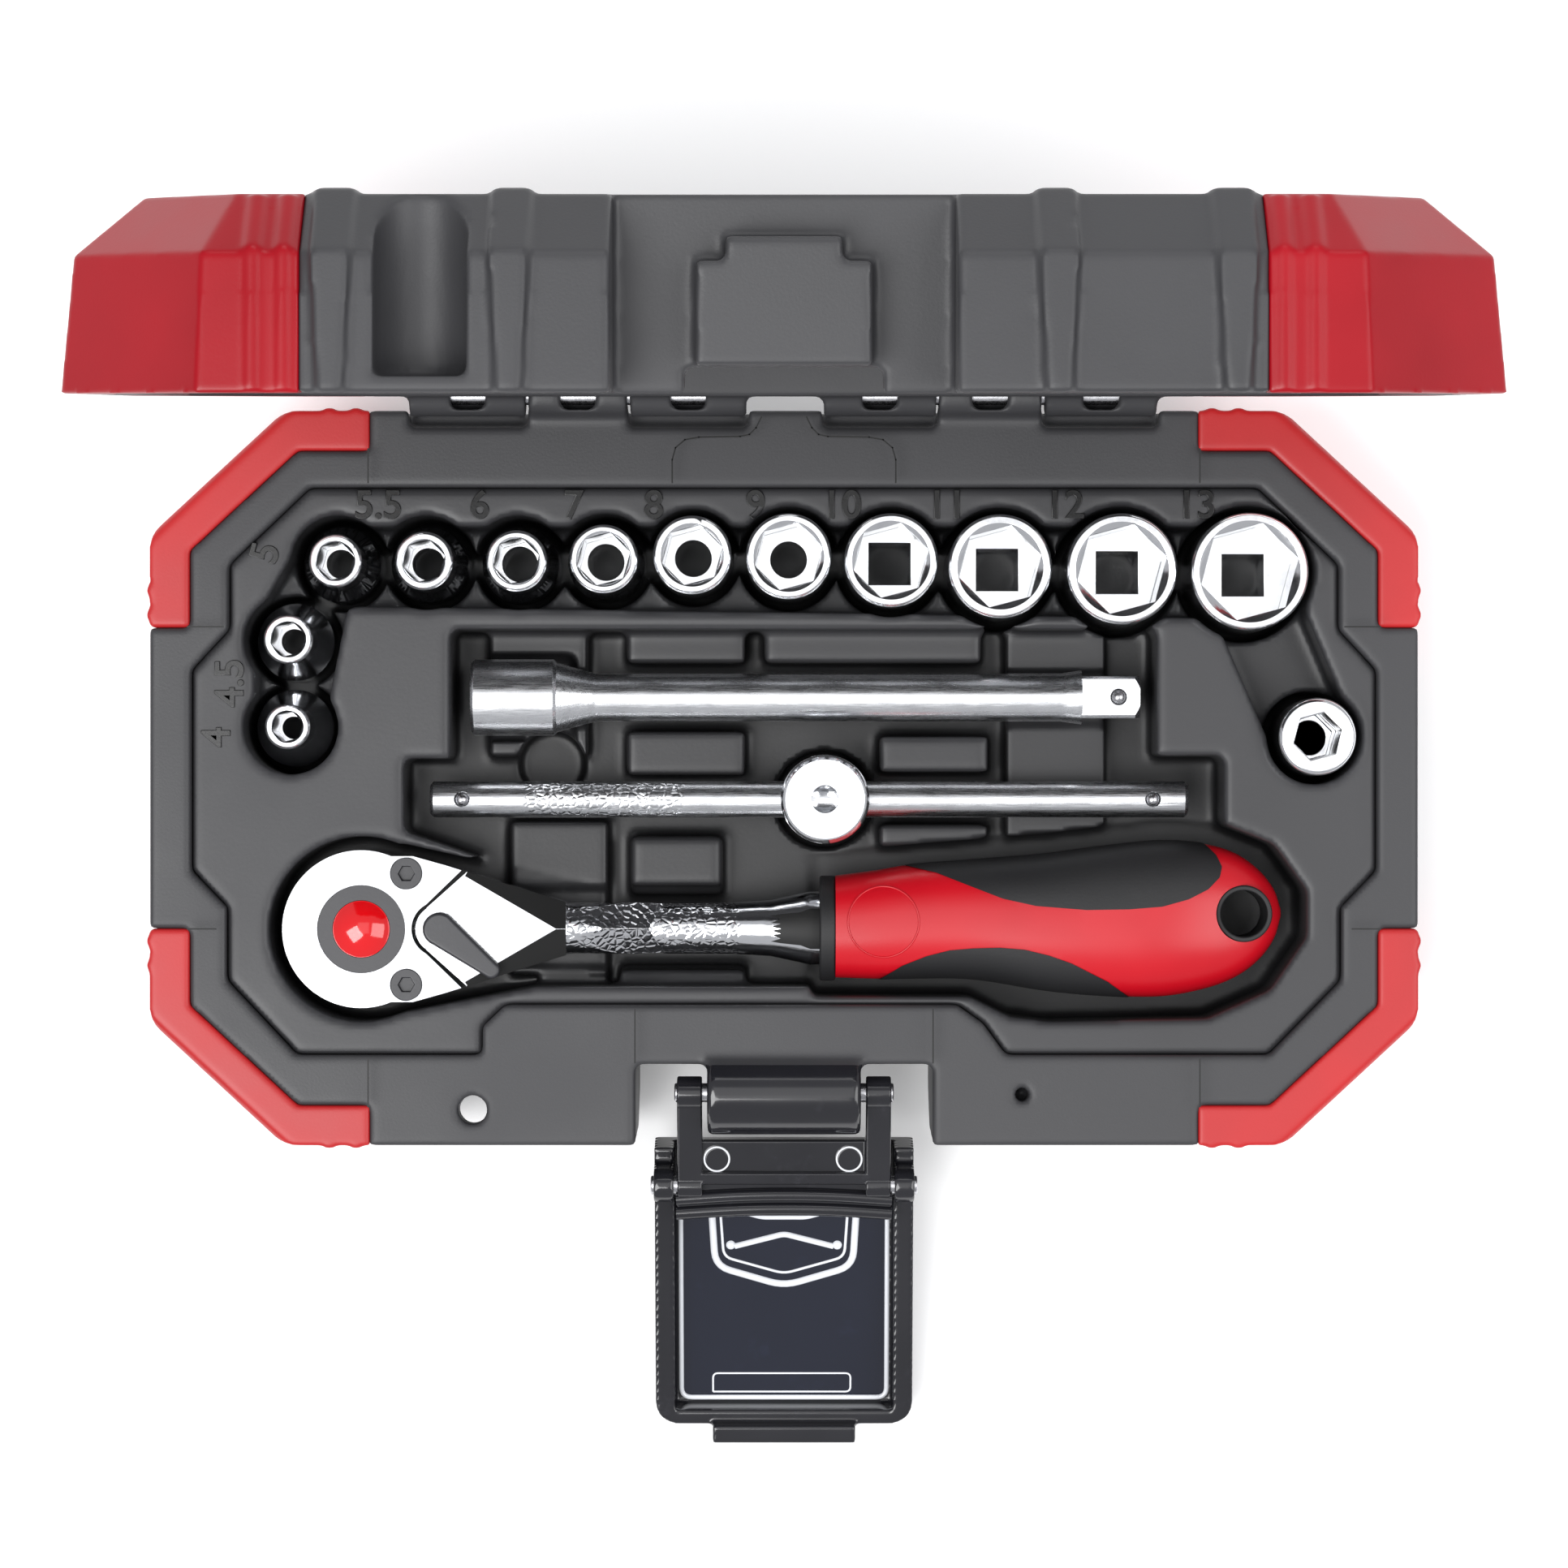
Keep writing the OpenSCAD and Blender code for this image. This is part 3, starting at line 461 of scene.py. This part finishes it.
def bead(name, points, up, radius, sides=10):
    """A round bead along a row of points; its closed ends are flat."""
    rings = []
    for i, point in enumerate(points):
        run = (points[min(i + 1, len(points) - 1)] - points[max(i - 1, 0)]).normalized()
        side = up.cross(run).normalized()
        rings.append([point + (side * math.cos(2 * math.pi * k / sides)
                               + up * math.sin(2 * math.pi * k / sides)) * radius for k in range(sides)])
    obj = loft(name, rings)
    even_shading(obj, 50)
    return obj


def soften(corners, radius, steps=5):
    """The row of points with its inner corners rounded."""
    points = [corners[0]]
    for before, corner, after in zip(corners, corners[1:], corners[2:]):
        start = corner + (before - corner).normalized() * radius
        end = corner + (after - corner).normalized() * radius
        for k in range(steps + 1):
            t = k / steps
            points.append(start * (1 - t) ** 2 + corner * 2 * t * (1 - t) + end * t ** 2)
    return points + [corners[-1]]


def trim(piece, name, finish, body):
    """Names a small added piece and gives it its finish and body."""
    piece.name = name
    piece.data.materials.clear()
    piece.data.materials.append(MATERIALS[finish])
    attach(piece, body)


def join_all(pieces):
    bpy.ops.object.select_all(action="DESELECT")
    for piece in pieces:
        piece.select_set(True)
    bpy.context.view_layer.objects.active = pieces[0]
    bpy.ops.object.join()
    return bpy.context.object


def moulded_form(piece, cell, passes, limit):
    """Turns a sharp form into one soft skin, thinned to a number of triangles."""
    apply_modifier(piece, "REMESH", mode="VOXEL", voxel_size=cell)
    apply_modifier(piece, "SMOOTH", factor=0.5, iterations=passes)
    triangles = sum(len(p.vertices) - 2 for p in piece.data.polygons)
    if triangles > limit:
        apply_modifier(piece, "DECIMATE", ratio=limit / triangles)
    only(piece)
    bpy.ops.object.shade_smooth()


# ---------- operators ----------
class SOCKETSET_OT_shells(bpy.types.Operator):
    """Rounds the base shell and the lid shell"""
    bl_idname = "socketset.shells"
    bl_label = "Case Shells"

    def execute(self, context):
        cell = context.scene.socket_case.tray_cell * 0.9
        passes, limit = 3, 190000
        for node, places in (("base_shell", (-31.0, 31.0)), ("lid_shell", (-47.6, -14.4, 14.4, 47.7))):
            shell = copy_of(node, node + "_piece")
            self.windows(shell, places)
            moulded_form(shell, cell, passes, limit)
            settle(shell, node, "case_plastic")
        base = bpy.data.objects["base_shell_piece"]
        base.data.materials.append(MATERIALS["latch_plastic"])
        low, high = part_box("latch_base_pin")
        centre = [(a + b) / 2 for a, b in zip(low, high)]
        for face in base.data.polygons:
            if abs(face.center[0]) < 11.8 * MM and face.center[1] < -43.3 * MM and math.hypot(
                    face.center[1] - centre[1], face.center[2] - centre[2]) < 7.2 * MM:
                face.material_index = 1
        self.seams()
        return {"FINISHED"}

    def windows(self, shell, places):
        """Slots through the knuckles that show the hinge pins."""
        low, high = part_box("hinge_pins")
        y, z = (low[1] + high[1]) / 2, (low[2] + high[2]) / 2
        for x in places:
            slot = prism("window", [(x - 2.6, y / MM - 2), (x + 2.6, y / MM - 2), (x + 2.6, y / MM + 2),
                                    (x - 2.6, y / MM + 2)], z - 1.6 * MM, z + 5 * MM)
            combine(shell, slot, "DIFFERENCE")
            drop(slot)

    def seams(self):
        """Fine joint lines across the base's rim."""
        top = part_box("base_shell")[1][2]
        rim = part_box("base_corner_br")[0]
        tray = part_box("tray_insert")[1]
        wide = 0.22 * MM
        lines = []
        for sx in (-1, 1):
            x = sx * rim[0]
            lines += [((x, tray[1] + 0.5 * MM), (x, 49.4 * MM)), ((x, -42.3 * MM), (x, -49.4 * MM)),
                      ((sx * 89.6 * MM, rim[1]), (sx * 84.3 * MM, rim[1])),
                      ((sx * 89.6 * MM, -rim[1]), (sx * 85.4 * MM, -rim[1])),
                      ((sx * 22.4 * MM, -42.8 * MM), (sx * 22.4 * MM, -34.8 * MM))]
            bow = [(16.8, 44.4), (16.8, 47.8), (16.3, 49.6), (14.9, 50.8), (12.8, 51.2), (6.6, 51.3),
                   (5.2, 51.6), (4.2, 52.6), (3.4, 54.2)]
            bow = [(sx * x * MM, y * MM) for x, y in bow]
            lines += list(zip(bow, bow[1:]))
        rods = []
        for (x0, y0), (x1, y1) in lines:
            along = Vector((x1 - x0, y1 - y0)).normalized() * wide * 0.5
            side = Vector((-along[1], along[0]))
            outline = [(x0 - along[0] + side[0], y0 - along[1] + side[1]),
                       (x0 - along[0] - side[0], y0 - along[1] - side[1]),
                       (x1 + along[0] - side[0], y1 + along[1] - side[1]),
                       (x1 + along[0] + side[0], y1 + along[1] + side[1])]
            outline = [(a / MM, b / MM) for a, b in outline]
            rods.append(prism("seam", outline, top - 0.1 * MM, top + 0.012 * MM))
        trim(join_all(rods), "rim_seams", "seam_and_painted_shade", "base")


class SOCKETSET_OT_guards(bpy.types.Operator):
    """Rounds the eight corner guards"""
    bl_idname = "socketset.guards"
    bl_label = "Corner Guards"

    def execute(self, context):
        cell = context.scene.socket_case.tray_cell * 0.62
        for corner in CORNERS:
            for node, slot in (("base_corner_" + corner, "guard_red"), ("lid_corner_" + corner, "lid_red")):
                guard = copy_of(node, node + "_piece")
                if slot == "guard_red":
                    self.corners(guard)
                moulded_form(guard, cell, 5, 60000)
                settle(guard, node, slot)
        return {"FINISHED"}

    def corners(self, piece):
        """Rounds the two upright corners of the outer face."""
        far_x = max(abs(v.co[0]) for v in piece.data.vertices) - 0.6 * MM
        far_y = max(abs(v.co[1]) for v in piece.data.vertices) - 0.6 * MM

        def upright(a, b):
            rise = b - a
            flat = math.hypot(rise[0], rise[1])
            outer = (abs(a[0]) > far_x - 1.6 * MM and 33 * MM < abs(a[1]) < 40 * MM) or (
                abs(a[1]) > far_y - 1.6 * MM and 72 * MM < abs(a[0]) < 79 * MM)
            return outer and abs(rise[2]) > 4 * MM and flat < 0.3 * abs(rise[2])
        bevel_where(piece, upright, 2.0 * MM, 5)


# size mark, X, Y and turn in degrees, beside each pocket
MARKS = (("4", -85.6, 6.2, 90), ("4.5", -83.6, 14.4, 90), ("5", -78.3, 34.0, 75), ("5.5", -61.3, 41.1, 0),
         ("6", -46.0, 41.1, 0), ("7", -31.8, 41.1, 0), ("8", -19.7, 41.1, 0), ("9", -4.3, 41.1, 0),
         ("10", 8.7, 41.1, 0), ("11", 24.6, 41.1, 0), ("12", 42.4, 41.1, 0), ("13", 62.3, 41.1, 0))


class SOCKETSET_OT_tray(bpy.types.Operator):
    """Makes the tray's soft moulded skin and its raised size marks"""
    bl_idname = "socketset.tray"
    bl_label = "Tool Tray"

    def execute(self, context):
        cell = context.scene.socket_case.tray_cell
        tray = copy_of("tray_insert", "tray_skin")
        moulded_form(tray, cell, 5, 190000)
        settle(tray, "tray_insert", "tray_plastic")
        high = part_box("tray_insert")[1]
        for mark, x, y, turn in MARKS:
            self.mark(mark, Vector((x * MM, y * MM, high[2] + 0.04 * MM)), turn)
        return {"FINISHED"}

    def mark(self, mark, place, turn):
        bpy.ops.object.select_all(action="DESELECT")
        bpy.ops.object.text_add(location=place, rotation=(0, 0, math.radians(turn)))
        text = bpy.context.object
        text.data.body = mark
        text.data.size = 6.0 * MM
        text.data.extrude = 0.18 * MM
        text.data.offset = 0.06 * MM
        text.data.bevel_depth = 0.08 * MM
        text.data.align_x = "CENTER"
        text.data.align_y = "CENTER"
        bpy.ops.object.convert(target="MESH")
        piece = bpy.context.object
        only(piece)
        bpy.ops.object.transform_apply(location=True, rotation=True, scale=True)
        piece.name = "size_mark_" + mark.replace(".", "_")
        piece.data.materials.clear()
        piece.data.materials.append(MATERIALS["number_ink"])
        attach(piece, "base")


class SOCKETSET_OT_latch(bpy.types.Operator):
    """Rounds the draw latch's link and plate"""
    bl_idname = "socketset.latch"
    bl_label = "Draw Latch"

    def execute(self, context):
        joints = {j["name"]: Vector(j["pos_m"]) for j in frame["record"]["behaviour"]["joints"]
                  if j["name"].startswith("latch")}
        self.pin = joints["latch_plate_swing"]
        self.along = (self.pin - joints["latch_link_swing"]).normalized()
        self.up = Vector((0, self.along[2], -self.along[1]))
        rounded("latch_link", "latch_plastic", 0.3 * MM, clamp=False, angle=40)
        plate = copy_of("latch_plate", "latch_plate_piece")
        self.plate_form(plate)
        moulded_form(plate, 0.3 * MM, 3, 150000)
        settle(plate, "latch_plate", "latch_plastic")
        self.plate_trim()
        self.link_lip()
        for node in ("latch_base_pin", "latch_plate_pins", "hinge_pins"):
            rounded(node, "pin_steel", 0.3 * MM)
        return {"FINISHED"}


    def at(self, x, reach, height):
        """A place on the latch: across, along the plate from its pin, and out of its face."""
        return self.pin + Vector((x * MM, 0, 0)) + self.along * (reach * MM) + self.up * (height * MM)

    def block(self, x0, x1, r0, r1, h0, h1):
        return loft("block", [[self.at(x0, r, h0), self.at(x1, r, h0), self.at(x1, r, h1), self.at(x0, r, h1)]
                              for r in (r0, r1)])

    def plate_form(self, plate):
        """Clears the plate's face and rounds its two far corners."""
        cutter = self.block(-16.8, 16.8, 3.0, 37.4, -7.72, -3.0)
        combine(plate, cutter, "DIFFERENCE")
        drop(cutter)

        def far_corner(a, b):
            inside = all(abs(abs(v[0]) - 19.8 * MM) < 0.3 * MM and (v - self.pin).dot(self.along) > 39 * MM
                         for v in (a, b))
            return inside and abs((b - a).dot(self.up)) > 3 * MM
        bevel_where(plate, far_corner, 3.4 * MM, 6)

    def path(self, corners, height, radius):
        return soften([self.at(x, r, height) for x, r in corners], radius * MM)

    def plate_trim(self):
        rows = (
            (((-15.9, 4.6), (-15.9, 36.7), (15.9, 36.7), (15.9, 4.6)), -7.65, 1.6, 0.4),
            (((-11.2, 5.2), (-10.6, 15.4), (0, 18.6), (10.6, 15.4), (11.2, 5.2)), -7.8, 2.4, 0.6),
            (((-9.8, 6.4), (-9.3, 13.9), (0, 16.6), (9.3, 13.9), (9.8, 6.4)), -7.65, 1.4, 0.22),
            (((-7.6, 12.2), (0, 10.2), (7.6, 12.2)), -7.75, 0.8, 0.5),
            (((-6.6, 6.6), (-3.4, 7.5), (3.4, 7.5), (6.6, 6.6)), -7.75, 0.8, 0.45),
            (((-11.0, 35.8), (-11.0, 32.8), (10.3, 32.8), (10.3, 35.8), (-11.0, 35.8)), -7.7, 0.8, 0.17))
        # Pale beads and dots round the panel and its marks: painted highlights of the glossy edges.
        lines = [bead("line", self.path(corners, height, round_), self.up, width * MM)
                 for corners, height, round_, width in rows]
        for x in (-8.2, 8.2):
            bpy.ops.object.select_all(action="DESELECT")
            bpy.ops.mesh.primitive_uv_sphere_add(segments=16, ring_count=10, radius=0.85 * MM,
                                                 location=self.at(x, 12.0, -8.05))
            dot = bpy.context.object
            bpy.ops.object.transform_apply(location=True, rotation=True, scale=True)
            bpy.ops.object.shade_smooth()
            lines.append(dot)
        trim(join_all(lines), "latch_plate_highlights", "latch_highlight", "latch_plate")
        window = self.block(-15.6, 15.6, 4.2, 36.4, -7.75, -7.62)
        trim(window, "latch_plate_window", "latch_window", "latch_plate")

    def link_lip(self):
        """The link's bowed lip over the head of the plate, and pale rings round its two bosses as painted
        highlights.
        """
        sheet = self.block(-16.3, 16.3, -2.2, 3.9, -0.7, 0.4)
        round_edges(sheet, 0.3 * MM)
        bars = [bead("bar", self.path(((-16.4, r + 0.7), (-6, r), (6, r), (16.4, r + 0.7)), h, 5), self.up,
                     w * MM, 14)
                for r, h, w in ((1.3, 0.9, 0.95), (3.7, 0.1, 1.1))]
        trim(join_all([sheet] + bars), "latch_link_lip", "latch_plastic", "latch_link")
        # Pale rings round the bosses: painted highlights.
        rings = []
        for x in (-10.2, 9.9):
            turn = [self.at(x + 1.9 * math.cos(t), -4.4 + 1.9 * math.sin(t), 1.0)
                    for t in (2 * math.pi * k / 28 for k in range(29))]
            rings.append(bead("ring", turn, self.up, 0.16 * MM))
        trim(join_all(rings), "latch_link_highlights", "latch_highlight", "latch_link")


class SOCKETSET_OT_sockets(bpy.types.Operator):
    """Finishes the twelve sockets and the bit adapter"""
    bl_idname = "socketset.sockets"
    bl_label = "Sockets"

    def execute(self, context):
        for size in SIZES:
            rounded("socket_" + size, "socket_chrome", 0.25 * MM, segments=2)
        rounded("bit_adapter", "socket_chrome", 0.25 * MM, segments=2)
        return {"FINISHED"}


class SOCKETSET_OT_bars(bpy.types.Operator):
    """Finishes the extension and the sliding T-handle"""
    bl_idname = "socketset.bars"
    bl_label = "Extension and T-Handle"

    def execute(self, context):
        edge = context.scene.socket_tools.edge
        rounded("extension_bar", "bar_chrome", edge)
        rounded("t_handle_bar", "bar_chrome", edge * 0.7, finish="mark_chrome")
        rounded("t_handle_head", "bar_chrome", edge, finish="head_chrome")
        return {"FINISHED"}


# the handle's outline from above: X, then Y of the rear edge and of the front edge
HANDLE_EDGES = ((7.8, -14.8, -30.3), (14.4, -13.9, -30.5), (18.5, -13.2, -30.4), (28.6, -12.4, -30.5),
                (39.5, -11.5, -32.2), (48.0, -10.4, -33.0), (57.0, -9.5, -33.2), (63.6, -9.9, -32.1),
                (68.5, -11.3, -30.3), (72.2, -13.9, -27.6), (74.6, -17.0, -24.3), (75.5, -19.7, -21.3))
# half thickness of the handle along X
HANDLE_THICK = ((7.8, 7.9), (14.4, 8.0), (28.6, 8.1), (48.0, 8.5), (57.0, 8.4), (63.6, 7.6),
                (68.5, 6.2), (72.2, 4.6), (74.6, 2.8), (75.5, 1.2))
UPPER_PAD = ((18.5, -5.0), (18.5, -13.2), (23.0, -14.3), (28.6, -16.5), (33.0, -18.2), (38.0, -19.3),
             (45.6, -19.9), (52.0, -19.8), (57.0, -19.4), (61.0, -18.3), (64.0, -16.8), (65.8, -15.0),
             (66.2, -13.4), (65.4, -11.6), (63.6, -9.7), (63.6, -5.0))
LOWER_PAD = ((14.4, -38.0), (14.4, -30.6), (17.8, -28.4), (21.5, -26.9), (25.0, -26.0), (28.6, -25.7),
             (32.5, -25.6), (36.3, -25.9), (40.0, -26.8), (43.4, -28.0), (48.9, -30.8), (52.4, -33.3),
             (52.4, -38.0))


def between(rows, x):
    """Smooth value along rows of (x, value, ...) by a cubic through the neighbours."""
    last = len(rows) - 1
    i = max(k for k in range(last) if rows[k][0] <= x + 1e-9)
    a, b, c, d = (rows[max(i - 1, 0)], rows[i], rows[i + 1], rows[min(i + 2, last)])
    t = min(1.0, max(0.0, (x - b[0]) / (c[0] - b[0])))
    span = c[0] - b[0]
    result = []
    for n in range(1, len(b)):
        before = (c[n] - a[n]) / (c[0] - a[0]) * span
        after = (d[n] - b[n]) / (d[0] - b[0]) * span
        result.append(b[n] * (2 * t ** 3 - 3 * t ** 2 + 1) + c[n] * (3 * t ** 2 - 2 * t ** 3)
                      + before * (t ** 3 - 2 * t ** 2 + t) + after * (t ** 3 - t ** 2))
    return result


class SOCKETSET_OT_ratchet(bpy.types.Operator):
    """Finishes the ratchet's head, mechanism and handle"""
    bl_idname = "socketset.ratchet"
    bl_label = "Ratchet"

    def execute(self, context):
        edge = context.scene.socket_tools.edge
        body = rounded("ratchet_body", "head_chrome", edge, finish="neck_chrome", prepare=self.tongue)
        plate = rounded("ratchet_cover_plate", "head_chrome", edge * 0.7)
        # Painted shade in the tongue's gap.
        self.paint_groove_shade(body, plate)
        rounded("ratchet_cover_screws", "black_steel", 0.12 * MM)
        rounded("ratchet_drive_gear", "black_steel", 0.15 * MM)
        rounded("ratchet_reverse_lever", "black_steel", 0.5 * MM)
        rounded("ratchet_collar", "grip_rubber", 0.4 * MM)
        rounded("ratchet_grommet", "grip_rubber", 0.3 * MM)
        rounded("ratchet_release_button", "button_red", 0.1 * MM)
        self.handle()
        self.ring_mark()
        return {"FINISHED"}

    def tongue(self, body):
        """Slopes the sides of the tongue down to a point on the neck."""
        low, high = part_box("ratchet_cover_plate")
        middle = (low[1] + high[1]) / 2
        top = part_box("ratchet_body")[1][2]
        for side in (-1, 1):
            head = Vector((-48.2 * MM, middle + side * 8.0 * MM, top))
            point = Vector((-34.4 * MM, middle, top))
            run = (point - head).normalized()
            out = Vector((run[1] * side * -1, run[0] * side, 0))
            if out[1] * side < 0:
                out = -out
            above = Vector((0, 0, 4 * MM))
            below = Vector((0, 0, -9 * MM))
            far = out * 14 * MM
            rings = [[base + above, base, base + far + below, base + far + above]
                     for base in (head, point + run * 12 * MM)]
            cutter = loft("slope", rings)
            combine(body, cutter, "DIFFERENCE")
            drop(cutter)

    def paint_groove_shade(self, body, plate):
        """Paints shade on the walls and the floor of the gap round the shank's tongue: their faces get the
        near-black material.
        """
        low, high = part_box("ratchet_cover_plate")
        middle = (low[1] + high[1]) / 2
        for piece in (body, plate):
            piece.data.materials.append(MATERIALS["seam_and_painted_shade"])
        for face in body.data.polygons:
            if low[2] - 0.1 * MM < face.center[2] < low[2] + 1.1 * MM:
                face.material_index = 1
        for face in plate.data.polygons:
            inner = face.center[0] > -57 * MM and abs(face.center[1] - middle) < 8.2 * MM
            if inner and abs(face.normal[2]) < 0.5:
                face.material_index = 1

    def ring_mark(self):
        """A plain raised ring on the front of the handle."""
        low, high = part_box("ratchet_collar")
        centre = (low[2] + high[2]) / 2
        points = []
        for k in range(49):
            turn = 2 * math.pi * k / 48
            x, y = 15 + 5.35 * math.cos(turn), -21.7 + 5.35 * math.sin(turn)
            rear, near = between(HANDLE_EDGES, x)
            part = abs(y - (rear + near) / 2) / ((rear - near) / 2)
            top = between(HANDLE_THICK, x)[0] * (1 - part ** 2.5) ** (1 / 2.5)
            points.append(Vector((x * MM, y * MM, centre + top * MM)))
        trim(bead("ring", points, Vector((0, 0, 1)), 0.16 * MM), "handle_ring", "handle_red", "ratchet")

    def form(self, name, swell=0.0):
        """The handle's whole form as a skin of rounded sections."""
        low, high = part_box("ratchet_collar")
        centre = (low[2] + high[2]) / 2
        stations = 54
        rings = []
        first, last = HANDLE_EDGES[0][0], HANDLE_EDGES[-1][0]
        for k in range(stations):
            x = first + (last - first) * (1 - (1 - k / (stations - 1)) ** 1.6)
            rear, near = between(HANDLE_EDGES, x)
            thick = between(HANDLE_THICK, x)[0] + swell
            half = (rear - near) / 2 + swell
            middle = (rear + near) / 2
            ring = []
            for i in range(56):
                turn = 2 * math.pi * i / 56
                c, s = math.cos(turn), math.sin(turn)
                power = 2 / 2.5
                ring.append((x * MM, (middle + half * math.copysign(abs(c) ** power, c)) * MM,
                             centre + thick * math.copysign(abs(s) ** power, s) * MM))
            rings.append(ring)
        return loft(name, rings)

    def handle(self):
        hole_low, hole_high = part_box("ratchet_grommet")
        bpy.ops.object.select_all(action="DESELECT")
        bpy.ops.mesh.primitive_cylinder_add(
            vertices=64, radius=(hole_high[0] - hole_low[0]) / 2, depth=0.05,
            location=((hole_low[0] + hole_high[0]) / 2, (hole_low[1] + hole_high[1]) / 2, 0.02))
        hole = bpy.context.object
        pads = [prism("pad_cut", outline, 0.004, 0.034) for outline in (UPPER_PAD, LOWER_PAD)]
        core = self.form("handle_core")
        for cutter in pads + [hole]:
            combine(core, cutter, "DIFFERENCE")
        smooth_by_angle(core, 40)
        settle(core, "ratchet_handle_core", "handle_red")
        for name, node, cutter in (("handle_grip_upper", "ratchet_grip_upper", pads[0]),
                                   ("handle_grip_lower", "ratchet_grip_lower", pads[1])):
            grip = self.form(name, 0.12)
            combine(grip, cutter, "INTERSECT")
            smooth_by_angle(grip, 40)
            settle(grip, node, "grip_rubber")
        for helper in pads + [hole]:
            drop(helper)


class SOCKETSET_OT_small_parts(bpy.types.Operator):
    """Gives the small steel parts their finish"""
    bl_idname = "socketset.small_parts"
    bl_label = "Small Steel Parts"

    def execute(self, context):
        for node in ("extension_ball", "t_bar_balls", "t_head_ball", "ratchet_drive_ball",
                     "ratchet_button_spring", "bit_adapter_clip", "ratchet_pawl"):
            mesh = NODES[node].data
            mesh.materials.clear()
            mesh.materials.append(MATERIALS["pin_steel"])
        return {"FINISHED"}


class SOCKETSET_OT_stage(bpy.types.Operator):
    """Sets the floor, the lights and the camera"""
    bl_idname = "socketset.stage"
    bl_label = "Stage"

    def execute(self, context):
        scene = context.scene
        bpy.ops.object.select_all(action="DESELECT")
        bpy.ops.mesh.primitive_plane_add(size=6.0, location=(0, 0, -0.0002))
        floor = context.object
        floor.name = "floor"
        floor.data.materials.append(self.floor_material())
        for name, place, size, power in (("key", (-0.45, -0.3, 1.15), 0.7, 12.5),
                                         ("fill", (0.7, -0.1, 0.95), 0.7, 6.0),
                                         ("back", (0.1, 0.95, 0.8), 0.6, 2.2),
                                         ("top", (0.0, 0.02, 1.25), 0.6, 1.05)):
            bpy.ops.object.light_add(type="AREA", location=place)
            light = context.object
            light.name = name
            light.data.size = size
            light.data.energy = power
            aim = Vector((0, 0, 0.03)) - Vector(place)
            light.rotation_euler = aim.to_track_quat("-Z", "Y").to_euler()
        world = bpy.data.worlds.new("studio")
        world.use_nodes = True
        world.node_tree.nodes["Background"].inputs["Color"].default_value = (0.95, 0.96, 1.0, 1)
        world.node_tree.nodes["Background"].inputs["Strength"].default_value = 0.5
        scene.world = world
        bpy.ops.object.camera_add(location=(0, -6.3 * MM, 0.796), rotation=(0, 0, 0))
        camera = context.object
        camera.data.lens = 117.2
        camera.data.sensor_width = 36.0
        camera.data.shift_y = 0.0228
        camera.data.clip_start = 0.01
        scene.camera = camera
        scene.view_settings.view_transform = "Standard"
        return {"FINISHED"}

    def floor_material(self):
        material = bpy.data.materials.new("pale_floor")
        material.use_nodes = True
        principled = material.node_tree.nodes["Principled BSDF"]
        principled.inputs["Base Color"].default_value = (0.9, 0.9, 0.9, 1)
        principled.inputs["Roughness"].default_value = 0.8
        principled.inputs["Emission Color"].default_value = (1, 1, 1, 1)
        principled.inputs["Emission Strength"].default_value = 0.22
        return material


class SOCKETSET_PT_panel(bpy.types.Panel):
    bl_idname = "SOCKETSET_PT_panel"
    bl_label = "Socket Set"
    bl_space_type = "VIEW_3D"
    bl_region_type = "UI"
    bl_category = "Socket Set"

    def draw(self, context):
        layout = self.layout
        for settings in (context.scene.socket_case, context.scene.socket_tools):
            for key in settings.__annotations__:
                layout.prop(settings, key)
        for operator in OPERATORS:
            layout.operator(operator.bl_idname)


OPERATORS = (SOCKETSET_OT_stage, SOCKETSET_OT_shells, SOCKETSET_OT_guards, SOCKETSET_OT_tray,
             SOCKETSET_OT_latch, SOCKETSET_OT_sockets, SOCKETSET_OT_bars, SOCKETSET_OT_ratchet,
             SOCKETSET_OT_small_parts)
CLASSES = (CaseSettings, ToolSettings) + OPERATORS + (SOCKETSET_PT_panel,)


def register():
    for cls in CLASSES:
        bpy.utils.register_class(cls)
    bpy.types.Scene.socket_case = bpy.props.PointerProperty(type=CaseSettings)
    bpy.types.Scene.socket_tools = bpy.props.PointerProperty(type=ToolSettings)


def unregister():
    del bpy.types.Scene.socket_tools
    del bpy.types.Scene.socket_case
    for cls in reversed(CLASSES):
        bpy.utils.unregister_class(cls)


def main():
    register()
    MATERIALS.update(make_materials())
    for operator in OPERATORS:
        group, name = operator.bl_idname.split(".")
        getattr(getattr(bpy.ops, group), name)()


if __name__ == "__main__":
    main()
